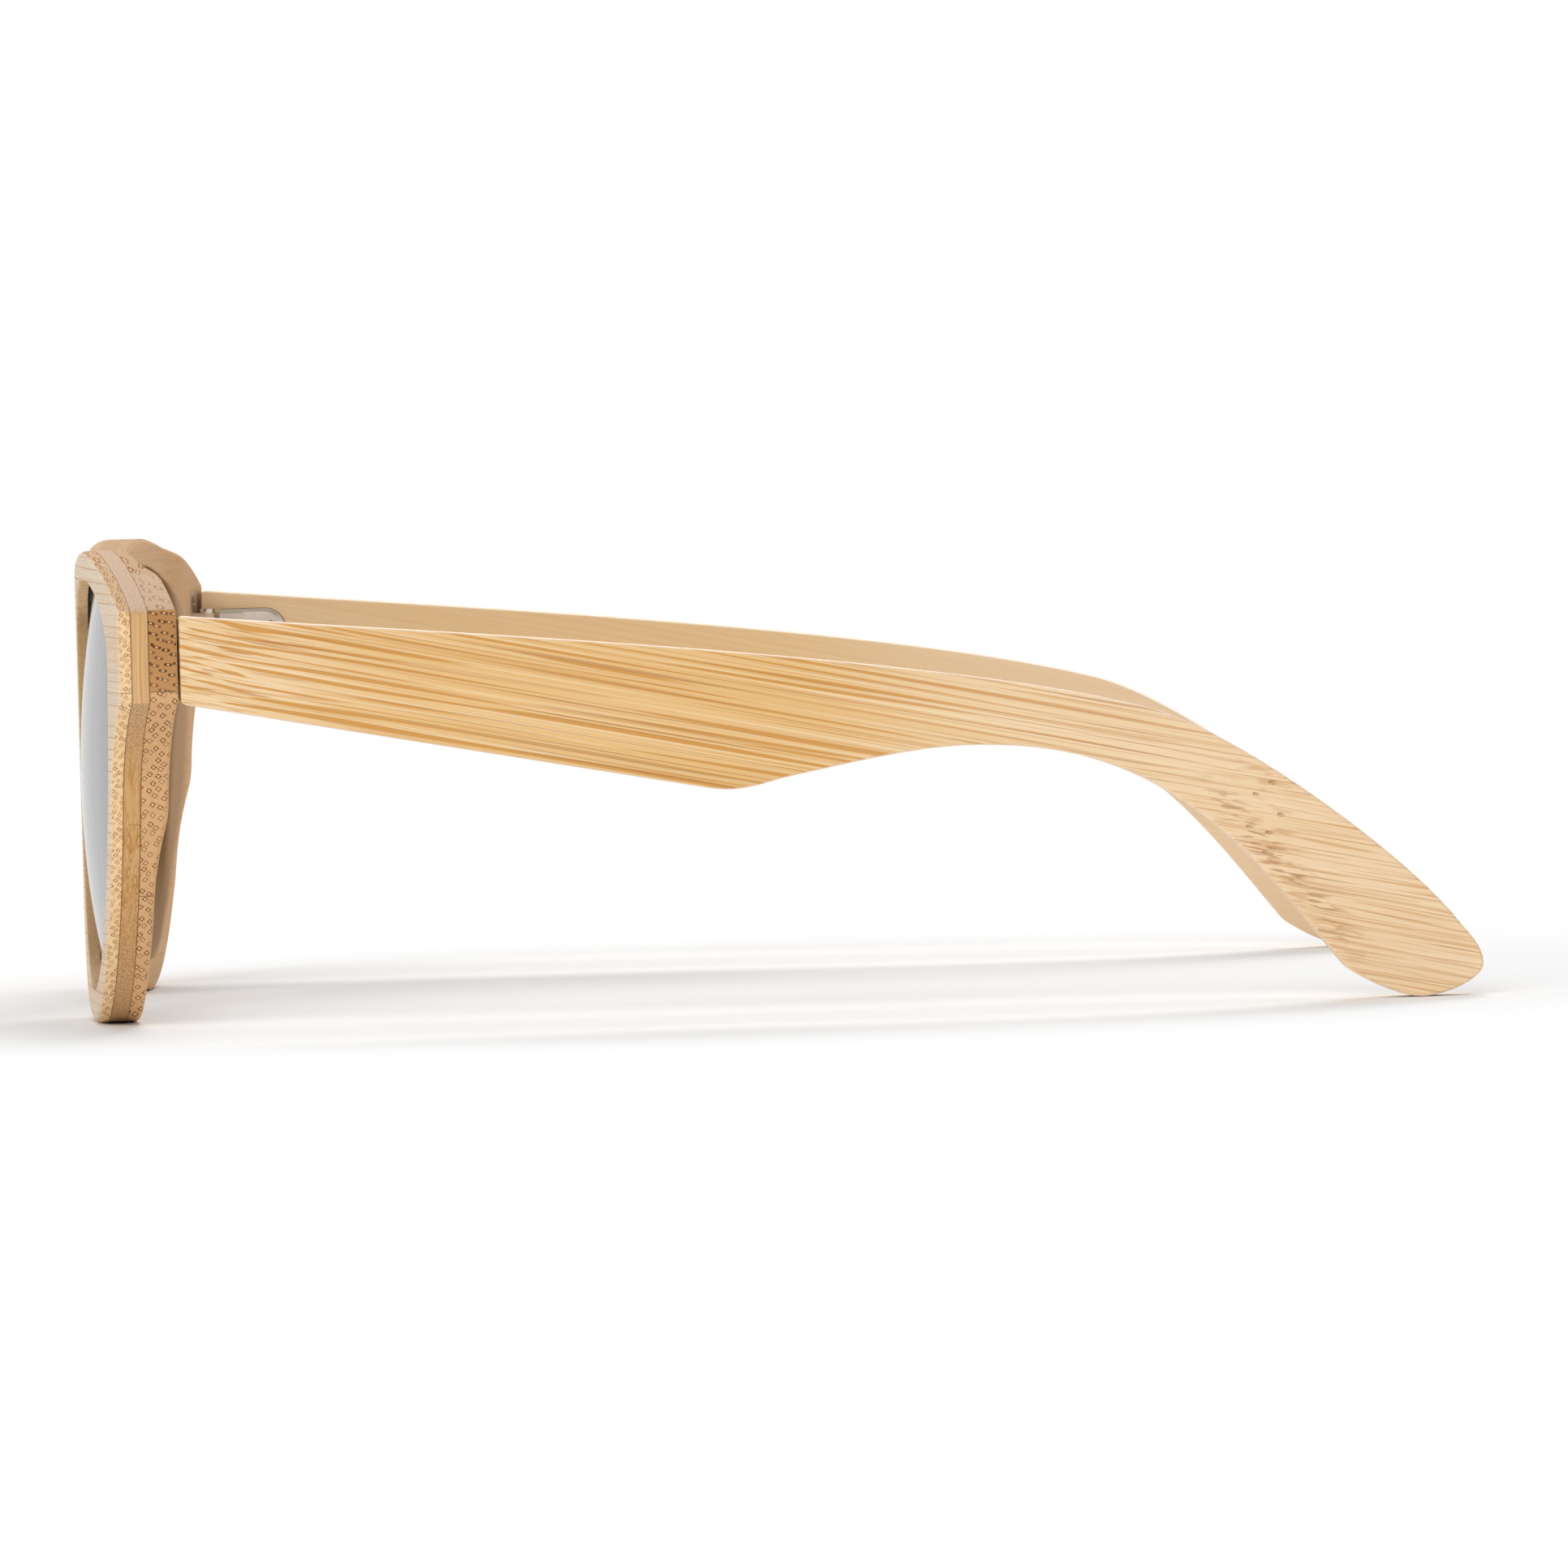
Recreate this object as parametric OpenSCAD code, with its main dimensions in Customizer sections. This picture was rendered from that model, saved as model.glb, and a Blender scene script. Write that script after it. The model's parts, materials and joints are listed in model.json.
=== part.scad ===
// Sunglasses with a laminated bamboo front, bamboo temples and sprung hinges
// X runs across the face, -Y is forward, Z is up, and the rims and temple tips stand on Z = 0

/* [Lenses] */
// Width of each lens opening
lens_w = 49; // [45:0.5:54]
// Height of each lens opening
lens_h = 44.5; // [40:0.5:48]
// Distance between the two lens openings across the nose
lens_gap = 24.2; // [22:0.2:30]
// How far the temple side of an opening leans in on its way down
lens_taper = 1.5; // [0.5:0.1:2.5]
// Height of the widest point of an opening above its foot
lens_wide_z = 34.9; // [30:0.1:38]
// Radius of the lens's front surface
lens_r = 112; // [104:1:130]
// Thickness of the lens
lens_t = 1.4; // [1.2:0.05:1.8]
// How far the middle of a lens stands proud of the front
lens_bulge = 0.5; // [0.3:0.05:0.9]
// How far the lens's edge reaches into its groove
lens_lip = 1.0; // [0.6:0.1:1.5]
// Clearance round the lens
lens_play = 0.06; // [0.03:0.01:0.1]

/* [Front] */
// Radius that the front is bent to, seen from above
wrap_r = 395; // [370:1:600]
// Thickness of the front ply, with its grain across the face
front_t = 1.35; // [1.2:0.05:1.8]
// Thickness of the core ply, with its grain upright
core_t = 1.85; // [1.8:0.05:2.4]
// Thickness of the rear ply where it is thinned along the rims
rear_t = 1.6; // [1.2:0.05:2]
// Thickness of the rear ply at the end pieces
end_t = 3.1; // [2.8:0.05:3.6]
// Thickness of the rear ply at the nose rests
nose_t = 3.1; // [2.2:0.05:3.6]
// Height of the rim under a lens opening
rim_low = 3.6; // [3:0.1:5]
// Height of the brow over a lens opening
rim_top = 3.2; // [2.8:0.1:5]
// Width of the rim beside the opening, on the temple side
rim_side = 3.0; // [2.6:0.1:4.5]
// Width of the rim beside the opening, on the nose side
rim_nose = 2.8; // [2.4:0.1:4]
// Width of an end piece beside the opening
end_w = 8.9; // [8.5:0.1:12]
// Height of an end piece's flat side
end_h = 9.1; // [8.8:0.1:11]
// How far the end piece's flat side starts below the brow
end_drop = 6.7; // [5:0.1:9]
// Dip of the bridge's top below the brow
bridge_dip = 3.5; // [1:0.1:6]
// Height of the bridge over the nose arch
bridge_h = 11.8; // [9:0.1:15]
// Height where the sides of the nose arch start to spread
nose_side_z = 27; // [24:0.5:29]
// Height where the nose arch runs into the rims
nose_low_z = 14; // [12:0.5:17]
// How far each side of the nose arch spreads on its way down
nose_spread = 3.3; // [2:0.1:4.5]
// Angle that the nose rests are bevelled at, seen from above
nose_bevel = 20; // [0:1:28]

/* [Temples] */
// Length of a temple from its butt end to its tip
temple_l = 139; // [134:1:150]
// Thickness of a temple
temple_t = 4; // [3.6:0.1:5]
// Radius of a temple's long edges
temple_edge_r = 0.7; // [0.3:0.05:1]
// Radius of a temple's butt end corners
butt_r = 1.1; // [1:0.05:2]
// Distance of the temple's knee from its butt end
knee_y = 58.5; // [50:0.5:66]
// Height of the knee above the ground
knee_z = 24.4; // [20:0.1:28]
// Distance of the temple's waist from its butt end
waist_y = 84.5; // [80:0.5:89]
// Height of the waist's underside above the ground
waist_z = 28.4; // [26:0.1:29.5]
// Distance from the butt end where the temple starts to bend down behind the ear
bend_y = 103.5; // [100:0.5:107]
// Height of the temple's top where it starts to bend down
bend_z = 31.9; // [31.5:0.1:34]
// Angle that each temple leans in towards its tip
toe_in = 4; // [1:0.5:6]
// Gap between a temple's butt end and the front
butt_gap = 0.15; // [0.1:0.05:0.3]

/* [Hinges] */
// Distance of the pivot from the temple's inner face
pivot_in = 1.2; // [1.15:0.05:1.6]
// Distance from the pivot's barrel to the end piece behind it
barrel_gap = 0.35; // [0.25:0.05:0.6]
// Radius of the hinge barrel
barrel_r = 1.1; // [1:0.05:1.15]
// Radius of the pivot screw
pivot_r = 0.55; // [0.4:0.05:0.6]
// Running clearance round the pivot screw
pivot_play = 0.05; // [0.03:0.01:0.1]
// Height of the middle knuckle, which the sprung slider carries
eye_h = 1.8; // [1.4:0.1:2.2]
// Height of each outer knuckle, which the plate carries
ear_h = 1.05; // [0.8:0.05:1.3]
// Clearance between knuckles
knuckle_gap = 0.05; // [0.03:0.01:0.1]
// Width of the hinge plate on the end piece
plate_w = 3.8; // [3.4:0.1:4.2]
// Height of the hinge plate on the end piece
plate_h = 9.4; // [8.8:0.1:10]
// Thickness of the hinge plate
plate_t = 0.8; // [0.6:0.05:1]
// Distance between the hinge plate's two screws
plate_screw_span = 6.2; // [6:0.1:6.6]
// Height of the spring case
case_w = 4.8; // [4.4:0.1:5.6]
// Thickness of the spring case
case_t = 2.6; // [2.4:0.05:3]
// Length of the spring case
case_l = 7.4; // [7.2:0.1:9]
// How deep the spring case is let into the temple
case_sink = 0.75; // [0.5:0.05:1.1]
// Least wall of the spring case round its bore
case_wall = 0.35; // [0.3:0.01:0.4]
// Bevel round the spring case's open face
case_bevel = 0.5; // [0.2:0.05:0.7]
// Distance from the spring case's front end to the step across it
case_step_y = 2.6; // [2.2:0.1:3.4]
// Drop of the spring case's tail below that step
case_step = 0.15; // [0.1:0.01:0.2]
// Radius of the slider's rod
rod_r = 0.45; // [0.35:0.05:0.5]
// Length of the spring's chamber in its case
chamber_l = 4.2; // [4.1:0.05:4.3]
// Diameter of the spring's wire
wire_d = 0.22; // [0.18:0.01:0.24]
// Turns of the spring
spring_turns = 5; // [3:1:5]
// Thickness of the collar that holds the spring on its rod
collar_t = 0.6; // [0.4:0.05:0.7]
// Radius of the small wood screws
screw_r = 0.5; // [0.4:0.05:0.6]
// Radius of the small wood screws' heads
screw_head_r = 1.0; // [0.9:0.05:1.1]
// How far the small wood screws reach into the wood
screw_bite = 1.7; // [1.2:0.1:1.9]
// Clearance round pieces let into the wood
let_in_play = 0.05; // [0.02:0.01:0.1]
// Clearance round screws and the pressed-on collar
tight_play = 0.01; // [0:0.005:0.02]

/* [Hidden] */
left = 1;
right = -1;
bamboo_face = "burlywood";
bamboo_core = "tan";
steel = "silver";
lens_grey = [0.35, 0.37, 0.4, 0.7];
round_fn = 48;
wrap_fn = 720;
sphere_fn = 160;
far = 200;
cut = 0.5;

// Heights and half widths of the front
lens_in = lens_gap / 2;
lens_out = lens_in + lens_w;
lens_mid = (lens_in + lens_out) / 2;
lens_top_z = rim_low + lens_h;
lens_wide = rim_low + lens_wide_z;
brow_z = lens_top_z + rim_top;
half_w = lens_out + end_w;
end_top_z = brow_z - end_drop;
end_low_z = end_top_z - end_h;
bridge_z = brow_z - bridge_dip;
arch_z = bridge_z - bridge_h;
arch_half = lens_in - rim_nose;

// Depths behind the front's foremost line
core_d = front_t;
rear_d = front_t + core_t;
thin_d = rear_d + rear_t;
nose_d = rear_d + nose_t;
end_d = rear_d + end_t;
end_tilt = asin((half_w - temple_t) / wrap_r);
joint_y = wrap_y(half_w) + end_d;

// Pivot and the frames of the hinge
pivot_x = half_w - temple_t - pivot_in;
pivot_h = barrel_r + barrel_gap;
pivot_y = end_face_y(pivot_x) + pivot_h / cos(end_tilt);
hinge_z = (end_top_z + end_low_z) / 2;
butt_y = (joint_y + butt_gap - pivot_y - (pivot_in + temple_t) * sin(toe_in)) / cos(toe_in);
knuckles_h = eye_h + 2 * (ear_h + knuckle_gap);
arm_y = barrel_r + 0.45;
case_y = arm_y + let_in_play;
case_out = pivot_in + case_sink;
case_in = case_out - case_t;
rod_x = (case_in + case_out) / 2;
bore_r = case_t / 2 - case_wall;
nose_wall = 0.5;
chamber_y = case_y + nose_wall;
chamber_end = chamber_y + chamber_l;
collar_y = chamber_end - collar_t - let_in_play;
tail_screw_y = chamber_end + (case_y + case_l - chamber_end) / 2 - 0.2;
plate_x = barrel_r - plate_w / 2;
screw_head_h = screw_head_r - screw_r;
slot_w = 0.3;
slot_d = 0.25;
pivot_head_r = 0.9;
pivot_head_h = 0.5;

// The whole part is centred on its length, which the temple tips end
tip_y = pivot_y + (butt_y + temple_l) * cos(toe_in) + (pivot_in + temple_t - temple_edge_r) * sin(toe_in);
centre_y = tip_y / 2;

// Depth of the wrapped front at a distance from its middle
function wrap_y(x) = wrap_r - sqrt(wrap_r * wrap_r - x * x);

// Rear face of an end piece, which is flat
function end_face_y(x) = joint_y - (half_w - x) * tan(end_tilt);

// Points of one cubic curve, without its last point
function curve(p, n) = [
    for (i = [0 : n - 1])
        let (t = i / n, u = 1 - t)
        u * u * u * p[0] + 3 * u * u * t * p[1] + 3 * u * t * t * p[2] + t * t * t * p[3]
];

// Points of several curves in a row
function curves(list, n) = [for (p = list) each curve(p, n)];

function mirrored(points) = [for (i = [len(points) - 1 : -1 : 0]) [-points[i][0], points[i][1]]];

// Direction out of a clockwise outline at one of its points
function outward(points, i) =
    let (
        n = len(points),
        d = points[(i + 1) % n] - points[(i + n - 1) % n]
    )
    [-d[1], d[0]] / norm(d);

// A clockwise outline moved out by a distance
function moved_out(points, d) = [for (i = [0 : len(points) - 1]) points[i] + d * outward(points, i)];

// Outer outline of the front's left half, from the bridge's top round to the nose arch
outline_n = 10;
rim_foot_x = lens_mid - 1.5;
side_x = lens_out - 2 * lens_taper + rim_side;
side_z = rim_low + 0.48 * lens_h;
arch_low_x = arch_half + nose_spread;
// Inner flank of a rim, from its foot up to the middle of the nose arch
arch_flank = curves([
    [[rim_foot_x, 0], [rim_foot_x - 11, 0], [arch_low_x + 3.6, nose_low_z - 9], [arch_low_x, nose_low_z]],
    [
        [arch_low_x, nose_low_z],
        [arch_low_x - 1.6, nose_low_z + 4],
        [arch_half + 0.7, nose_side_z - 4.5],
        [arch_half, nose_side_z]
    ],
    [[arch_half, nose_side_z], [arch_half - 1, nose_side_z + 6.3], [0.5 * arch_half, arch_z], [0, arch_z]]
], outline_n);
half_outline = concat(
    curves([
        [[0, bridge_z], [0.29 * lens_mid, bridge_z], [0.5 * lens_mid, brow_z], [lens_mid, brow_z]],
        [
            [lens_mid, brow_z],
            [lens_mid + 14, brow_z],
            [half_w - 8, end_top_z + 4.1],
            [half_w - 1.4, end_top_z + 1.4]
        ]
    ], outline_n),
    curve([
        [half_w - 1.4, end_top_z + 1.4],
        [half_w - 0.5, end_top_z + 1.03],
        [half_w, end_top_z + 0.6],
        [half_w, end_top_z]
    ], 4),
    [[half_w, end_top_z]],
    curves([
        [
            [half_w, end_low_z],
            [half_w - 2.4, end_low_z - 1],
            [side_x + 1.4, side_z + 5.6],
            [side_x, side_z]
        ],
        [[side_x, side_z], [side_x - 2.6, side_z - 11.5], [lens_mid + 14, 0], [rim_foot_x, 0]]
    ], outline_n),
    arch_flank
);
front_outline = concat(half_outline, [[0, arch_z]], [for (p = mirrored(half_outline)) if (p[0] < 0) p]);

// Left lens opening, clockwise from its top
opening_n = 16;
opening = curves([
    [
        [lens_mid, lens_top_z],
        [lens_mid + 13, lens_top_z],
        [lens_out + 0.54 * lens_taper, lens_wide + 6.8],
        [lens_out, lens_wide]
    ],
    [
        [lens_out, lens_wide],
        [lens_out - lens_taper, lens_wide - 12.6],
        [lens_mid + 18, rim_low],
        [rim_foot_x, rim_low]
    ],
    [[rim_foot_x, rim_low], [rim_foot_x - 14, rim_low], [lens_in, lens_wide - 16], [lens_in, lens_wide]],
    [[lens_in, lens_wide], [lens_in, lens_wide + 7], [lens_mid - 14, lens_top_z], [lens_mid, lens_top_z]]
], opening_n);
lens_edge = moved_out(opening, lens_lip);
lens_window = moved_out(opening, lens_lip + lens_play);
lens_body = moved_out(opening, -lens_play);

lens_core = moved_out(opening, -3 * lens_play);
lens_turn = asin(lens_mid / wrap_r);
lens_centre_z = rim_low + lens_h / 2;

// Side of a temple: lengths from its butt end, heights from the ground
corner_steps = [0, 30, 60];
temple_low_z = end_low_z - 0.2;
knee_slope = (temple_low_z - knee_z - 0.3) / (knee_y - 2.5);
temple_top = concat(
    [for (a = corner_steps) [butt_r * (1 - cos(a)), end_top_z - butt_r * (1 - sin(a))]],
    curve([[butt_r, end_top_z], [25, end_top_z - 2.3], [bend_y - 23.4, bend_z + 6.5], [bend_y, bend_z]], 18),
    curve([
        [bend_y, bend_z],
        [bend_y + 9.5, bend_z - 2.64],
        [temple_l - 7.2, 14.6],
        [temple_l - 2.3, 7.6]
    ], 12),
    curve([[temple_l - 2.3, 7.6], [temple_l - 0.75, 5.95], [temple_l, 4.6], [temple_l, 3.4]], 5)
);
temple_under = concat(
    [for (a = corner_steps) [butt_r * (1 - cos(a)), temple_low_z + butt_r * (1 - sin(a))]],
    [
        for (i = [0 : 8])
            let (y = butt_r + (knee_y - 2.5 - butt_r) * i / 9)
            [y, knee_z + 0.3 + knee_slope * (knee_y - 2.5 - y)]
    ],
    curve([
        [knee_y - 2.5, knee_z + 0.3],
        [knee_y + 1, knee_z + 0.3 - 3.5 * knee_slope],
        [knee_y + 3, knee_z + 0.5],
        [knee_y + 6, knee_z + 1.2]
    ], 4),
    curve([
        [knee_y + 6, knee_z + 1.2],
        [knee_y + 13, knee_z + 2.5],
        [waist_y - 6.5, waist_z],
        [waist_y, waist_z]
    ], 5),
    curve([[waist_y, waist_z], [waist_y + 21.5, waist_z], [temple_l - 24.6, 15.85], [temple_l - 14.9, 3.6]], 9),
    curve([[temple_l - 14.9, 3.6], [temple_l - 14.1, 2.7], [temple_l - 9.4, 0], [temple_l - 6.7, 0]], 3),
    curve([[temple_l - 6.7, 0], [temple_l - 4.4, 0], [temple_l, 1.6], [temple_l, 3.4]], 5)
);
under_n = len(temple_under);
temple_side = concat(
    temple_top,
    [[temple_l, 3.4]],
    [for (i = [under_n - 1 : -1 : 0]) temple_under[i]]
);

module centred() translate([0, -centre_y, 0]) children();

// The left side as it is, or its mirror image
module on_side(side) centred() mirror([side < 0 ? 1 : 0, 0, 0]) children();

// Raises an outline drawn in X and Z into the front's depth
module through_front(from, to) translate([0, to, 0]) rotate([90, 0, 0]) linear_extrude(to - from) children();

// Part of a bent sheet between two depths
module bent_sheet(from, to) translate([0, wrap_r, -cut]) difference() {
    cylinder(r = wrap_r - from, h = brow_z + 2 * cut, $fn = wrap_fn);
    translate([0, 0, -cut]) cylinder(r = wrap_r - to, h = brow_z + 4 * cut, $fn = wrap_fn);
}

// Front outline with a window for each lens
module rim_shape(window) {
    n = len(front_outline);
    m = len(window);
    polygon(
        concat(front_outline, window, mirrored(window)),
        [[for (i = [0 : n - 1]) i], [for (i = [0 : m - 1]) n + i], [for (i = [0 : m - 1]) n + m + i]]
    );
}

ply_depth = wrap_y(half_w) + end_d + 2;

module front_ply() color(bamboo_face) centred() intersection() {
    bent_sheet(0, core_d);
    through_front(-1, ply_depth) rim_shape(opening);
}

module core_ply() color(bamboo_core) centred() intersection() {
    bent_sheet(core_d, rear_d);
    through_front(-1, ply_depth) rim_shape(lens_window);
}

// Seen from above: the rear ply swells to the end pieces
swell_n = 8;
end_flat_x = lens_out - 0.6;
swell_x = lens_out - 11;
module end_swell_plan() polygon(concat(
    [[swell_x, wrap_y(swell_x) + rear_d], [swell_x, wrap_y(swell_x) + thin_d]],
    curve([
        [swell_x, wrap_y(swell_x) + thin_d],
        [swell_x + 5, wrap_y(swell_x + 5) + thin_d],
        [end_flat_x - 4, end_face_y(end_flat_x - 4)],
        [end_flat_x, end_face_y(end_flat_x)]
    ], swell_n),
    [
        [end_flat_x, end_face_y(end_flat_x)],
        [half_w + cut, end_face_y(half_w + cut)],
        [half_w + cut, wrap_y(half_w) + rear_d - cut]
    ]
));

// Seen from the side: the swell runs out down the rim
swell_low_z = 12;
swell_high_z = end_low_z - 2.5;
swell_low_d = wrap_y(side_x - 3) + thin_d - 0.3;
module end_swell_side() polygon(concat(
    [[0, brow_z + cut], [joint_y + cut, brow_z + cut]],
    curve([
        [joint_y + cut, swell_high_z],
        [joint_y + cut, swell_high_z - 6],
        [swell_low_d + 0.6, swell_low_z + 10],
        [swell_low_d, swell_low_z]
    ], swell_n),
    [[swell_low_d, swell_low_z], [0, swell_low_z]]
));

// Seen from above: the rear ply swells to the nose rests
nose_full_x = lens_in + 2;
nose_run_x = nose_full_x + 8;
module nose_swell_plan() polygon(concat(
    [[0, rear_d - cut], [0, nose_d]],
    curve([
        [nose_full_x, wrap_y(nose_full_x) + nose_d],
        [nose_full_x + 3, wrap_y(nose_full_x + 3) + nose_d],
        [nose_run_x - 3, wrap_y(nose_run_x - 3) + thin_d],
        [nose_run_x, wrap_y(nose_run_x) + thin_d - 0.05]
    ], swell_n),
    [[nose_run_x, wrap_y(nose_run_x) + thin_d - 0.05], [nose_run_x, rear_d - cut]]
));

// Seen from the side: the nose rests fade out above and below
nose_deep = nose_d + wrap_y(nose_full_x) + cut;
module nose_swell_side() polygon(concat(
    [[0, nose_low_z - 8], [thin_d - 0.05, nose_low_z - 8]],
    curve([
        [thin_d - 0.05, nose_low_z - 8],
        [thin_d, nose_low_z - 4],
        [nose_deep - 0.4, nose_low_z - 4],
        [nose_deep, nose_low_z + 2]
    ], swell_n),
    curve([
        [nose_deep, nose_side_z],
        [nose_deep - 0.4, nose_side_z + 6],
        [thin_d, nose_side_z + 6],
        [thin_d - 0.05, nose_side_z + 11]
    ], swell_n),
    [[thin_d - 0.05, nose_side_z + 11], [0, nose_side_z + 11]]
));

module upright(height) translate([0, 0, -cut]) linear_extrude(height + 2 * cut) children();

module across(from, to) translate([from, 0, 0]) rotate([90, 0, 90]) linear_extrude(to - from) children();

// The rear ply's solid before its outline is cut, on the left half
module rear_swells() {
    intersection() {
        upright(brow_z) end_swell_plan();
        across(0, half_w + 1) end_swell_side();
    }
    intersection() {
        upright(brow_z) nose_swell_plan();
        across(-cut, nose_run_x + 1) nose_swell_side();
    }
}

// Widens one side of the nose arch towards the back
module nose_flare() translate([arch_half, rear_d, 0]) rotate([0, 0, -nose_bevel]) translate([-arch_half, 0, 0])
    through_front(0, 2 * nose_t) polygon(concat(arch_flank, [[0, arch_z], [0, -cut], [rim_foot_x, -cut]]));

module rear_ply() color(bamboo_face) centred() difference() {
    intersection() {
        union() {
            bent_sheet(rear_d, thin_d);
            difference() {
                union() {
                    rear_swells();
                    mirror([1, 0, 0]) rear_swells();
                }
                translate([0, wrap_r, -cut]) difference() {
                    cylinder(r = wrap_r + far, h = brow_z + 2 * cut, $fn = wrap_fn);
                    translate([0, 0, -cut]) cylinder(r = wrap_r - rear_d, h = brow_z + 4 * cut, $fn = wrap_fn);
                }
            }
        }
        through_front(-1, ply_depth) rim_shape(opening);
    }
    for (side = [left, right]) mirror([side < 0 ? 1 : 0, 0, 0]) {
        nose_flare();
        at_end_face() {
            pocket(plate_t) translate([plate_x, 0]) stadium(plate_w + 2 * let_in_play, plate_h + 2 * let_in_play);
            plate_screw_holes();
        }
    }
}

// Frame of the hinge plate: its origin is the pivot, and its Y leaves the end piece squarely
module at_end_face() translate([pivot_x, pivot_y, hinge_z]) rotate([0, 0, end_tilt]) children();

// Frame of a temple: its origin is the pivot, and its Y runs along the board
module at_temple() translate([pivot_x, pivot_y, hinge_z]) rotate([0, 0, toe_in]) children();

module stadium(w, h) {
    square([w, h - w], center = true);
    for (s = [-1, 1]) translate([0, s * (h - w) / 2]) circle(d = w, $fn = round_fn);
}

// Recess of a shape drawn in X and Z, sunk into the end piece
module pocket(depth) translate([0, -pivot_h + cut, 0]) rotate([90, 0, 0]) linear_extrude(depth + cut) children();

module plate_screw_holes() for (s = [-1, 1]) translate([plate_x, -pivot_h, s * plate_screw_span / 2])
    rotate([90, 0, 0]) cylinder(r = screw_r + tight_play, h = plate_t + screw_bite + let_in_play, $fn = round_fn);

// A countersunk wood screw with its head's top at the origin, driven along -Z
module wood_screw(length) difference() {
    union() {
        translate([0, 0, -length]) cylinder(r = screw_r, h = length - screw_head_h / 2, $fn = round_fn);
        translate([0, 0, -screw_head_h]) cylinder(r1 = screw_r, r2 = screw_head_r, h = screw_head_h, $fn = round_fn);
    }
    translate([-screw_head_r, -slot_w / 2, -slot_d]) cube([2 * screw_head_r, slot_w, slot_d + cut]);
}

// The same screw's countersink, open above its head
module countersink() translate([0, 0, -screw_head_h]) {
    cylinder(r1 = screw_r + tight_play, r2 = screw_head_r + tight_play, h = screw_head_h, $fn = round_fn);
    translate([0, 0, screw_head_h]) cylinder(r = screw_head_r + tight_play, h = cut, $fn = round_fn);
}

module lens_dome() translate([0, lens_r - lens_bulge, 0]) difference() {
    sphere(r = lens_r, $fn = sphere_fn);
    sphere(r = lens_r - lens_t, $fn = sphere_fn);
}

// A domed lens, whose edge is ground to follow the bent groove in the core ply
module lens(side) color(lens_grey) on_side(side) {
    intersection() {
        at_lens() lens_dome();
        through_front(-2, ply_depth) polygon(lens_body);
    }
    intersection() {
        bent_sheet(core_d + lens_play, rear_d - lens_play);
        through_front(-2, ply_depth) difference() {
            polygon(lens_edge);
            polygon(lens_core);
        }
    }
}

// Frame of a lens: on the front's face at the lens's middle, with Y square to the face
module at_lens() translate([lens_mid, wrap_y(lens_mid), lens_centre_z]) rotate([0, 0, lens_turn]) children();

// Rounded board: the side outline at several distances across its thickness
edge_steps = [90, 60, 30, 0];
module temple_board() {
    n = len(temple_side);
    rings = concat(
        [for (a = edge_steps) [pivot_in + temple_edge_r * (1 - sin(a)), temple_edge_r * (1 - cos(a))]],
        [
            for (i = [len(edge_steps) - 1 : -1 : 0])
                [
                    pivot_in + temple_t - temple_edge_r * (1 - sin(edge_steps[i])),
                    temple_edge_r * (1 - cos(edge_steps[i]))
                ]
        ]
    );
    last = len(rings) - 1;
    points = [for (r = rings) each [for (p = moved_out(temple_side, -r[1])) [r[0], butt_y + p[0], p[1] - hinge_z]]];
    // A flat face is a strip between the top edge and the underside
    strip = concat(
        [for (i = [0 : under_n - 2]) each [[i, n - 1 - i, i + 1], [i + 1, n - 1 - i, n - 2 - i]]],
        [[under_n - 1, under_n + 1, under_n]]
    );
    polyhedron(
        points,
        concat(
            strip,
            [for (f = strip) [for (i = [2 : -1 : 0]) last * n + f[i]]],
            [
                for (k = [0 : last - 1])
                    for (i = [0 : n - 1])
                        let (a = k * n, b = a + n, next = (i + 1) % n)
                        each [[a + i, a + next, b + i], [a + next, b + next, b + i]]
            ]
        )
    );
}

module temple(side) color(bamboo_face) on_side(side) at_temple() difference() {
    temple_board();
    case_block(let_in_play);
    translate([case_out - cut, tail_screw_y, 0]) rotate([0, 90, 0])
        cylinder(r = screw_r + tight_play, h = screw_bite + cut + let_in_play, $fn = round_fn);
}

module hinge_plate(side) color(steel) on_side(side) at_end_face() difference() {
    union() {
        translate([plate_x, -pivot_h, 0]) rotate([90, 0, 0]) linear_extrude(plate_t) stadium(plate_w, plate_h);
        for (s = [-1, 1]) translate([0, 0, s * (knuckles_h - ear_h) / 2]) {
            cylinder(r = barrel_r, h = ear_h, center = true, $fn = round_fn);
            translate([-barrel_r, -pivot_h - plate_t / 2, -ear_h / 2]) cube([2 * barrel_r, pivot_h + plate_t / 2, ear_h]);
        }
    }
    cylinder(r = pivot_r + pivot_play, h = far, center = true, $fn = round_fn);
    plate_screw_holes();
    for (s = [-1, 1]) translate([plate_x, -pivot_h, s * plate_screw_span / 2]) rotate([-90, 0, 0]) countersink();
}

module plate_screws(side) color(steel) on_side(side) at_end_face()
    for (s = [-1, 1]) translate([plate_x, -pivot_h, s * plate_screw_span / 2]) rotate([-90, 0, 0])
        wood_screw(plate_t + screw_bite);

// Pivot screw with a slotted head over the upper knuckle
module pivot_screw(side) color(steel) on_side(side) at_end_face() difference() {
    union() {
        translate([0, 0, -knuckles_h / 2]) cylinder(r = pivot_r, h = knuckles_h + pivot_head_h / 2, $fn = round_fn);
        translate([0, 0, knuckles_h / 2]) cylinder(r = pivot_head_r, h = pivot_head_h, $fn = round_fn);
    }
    translate([-pivot_head_r, -slot_w / 2, knuckles_h / 2 + pivot_head_h - slot_d])
        cube([2 * pivot_head_r, slot_w, slot_d + cut]);
}

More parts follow.
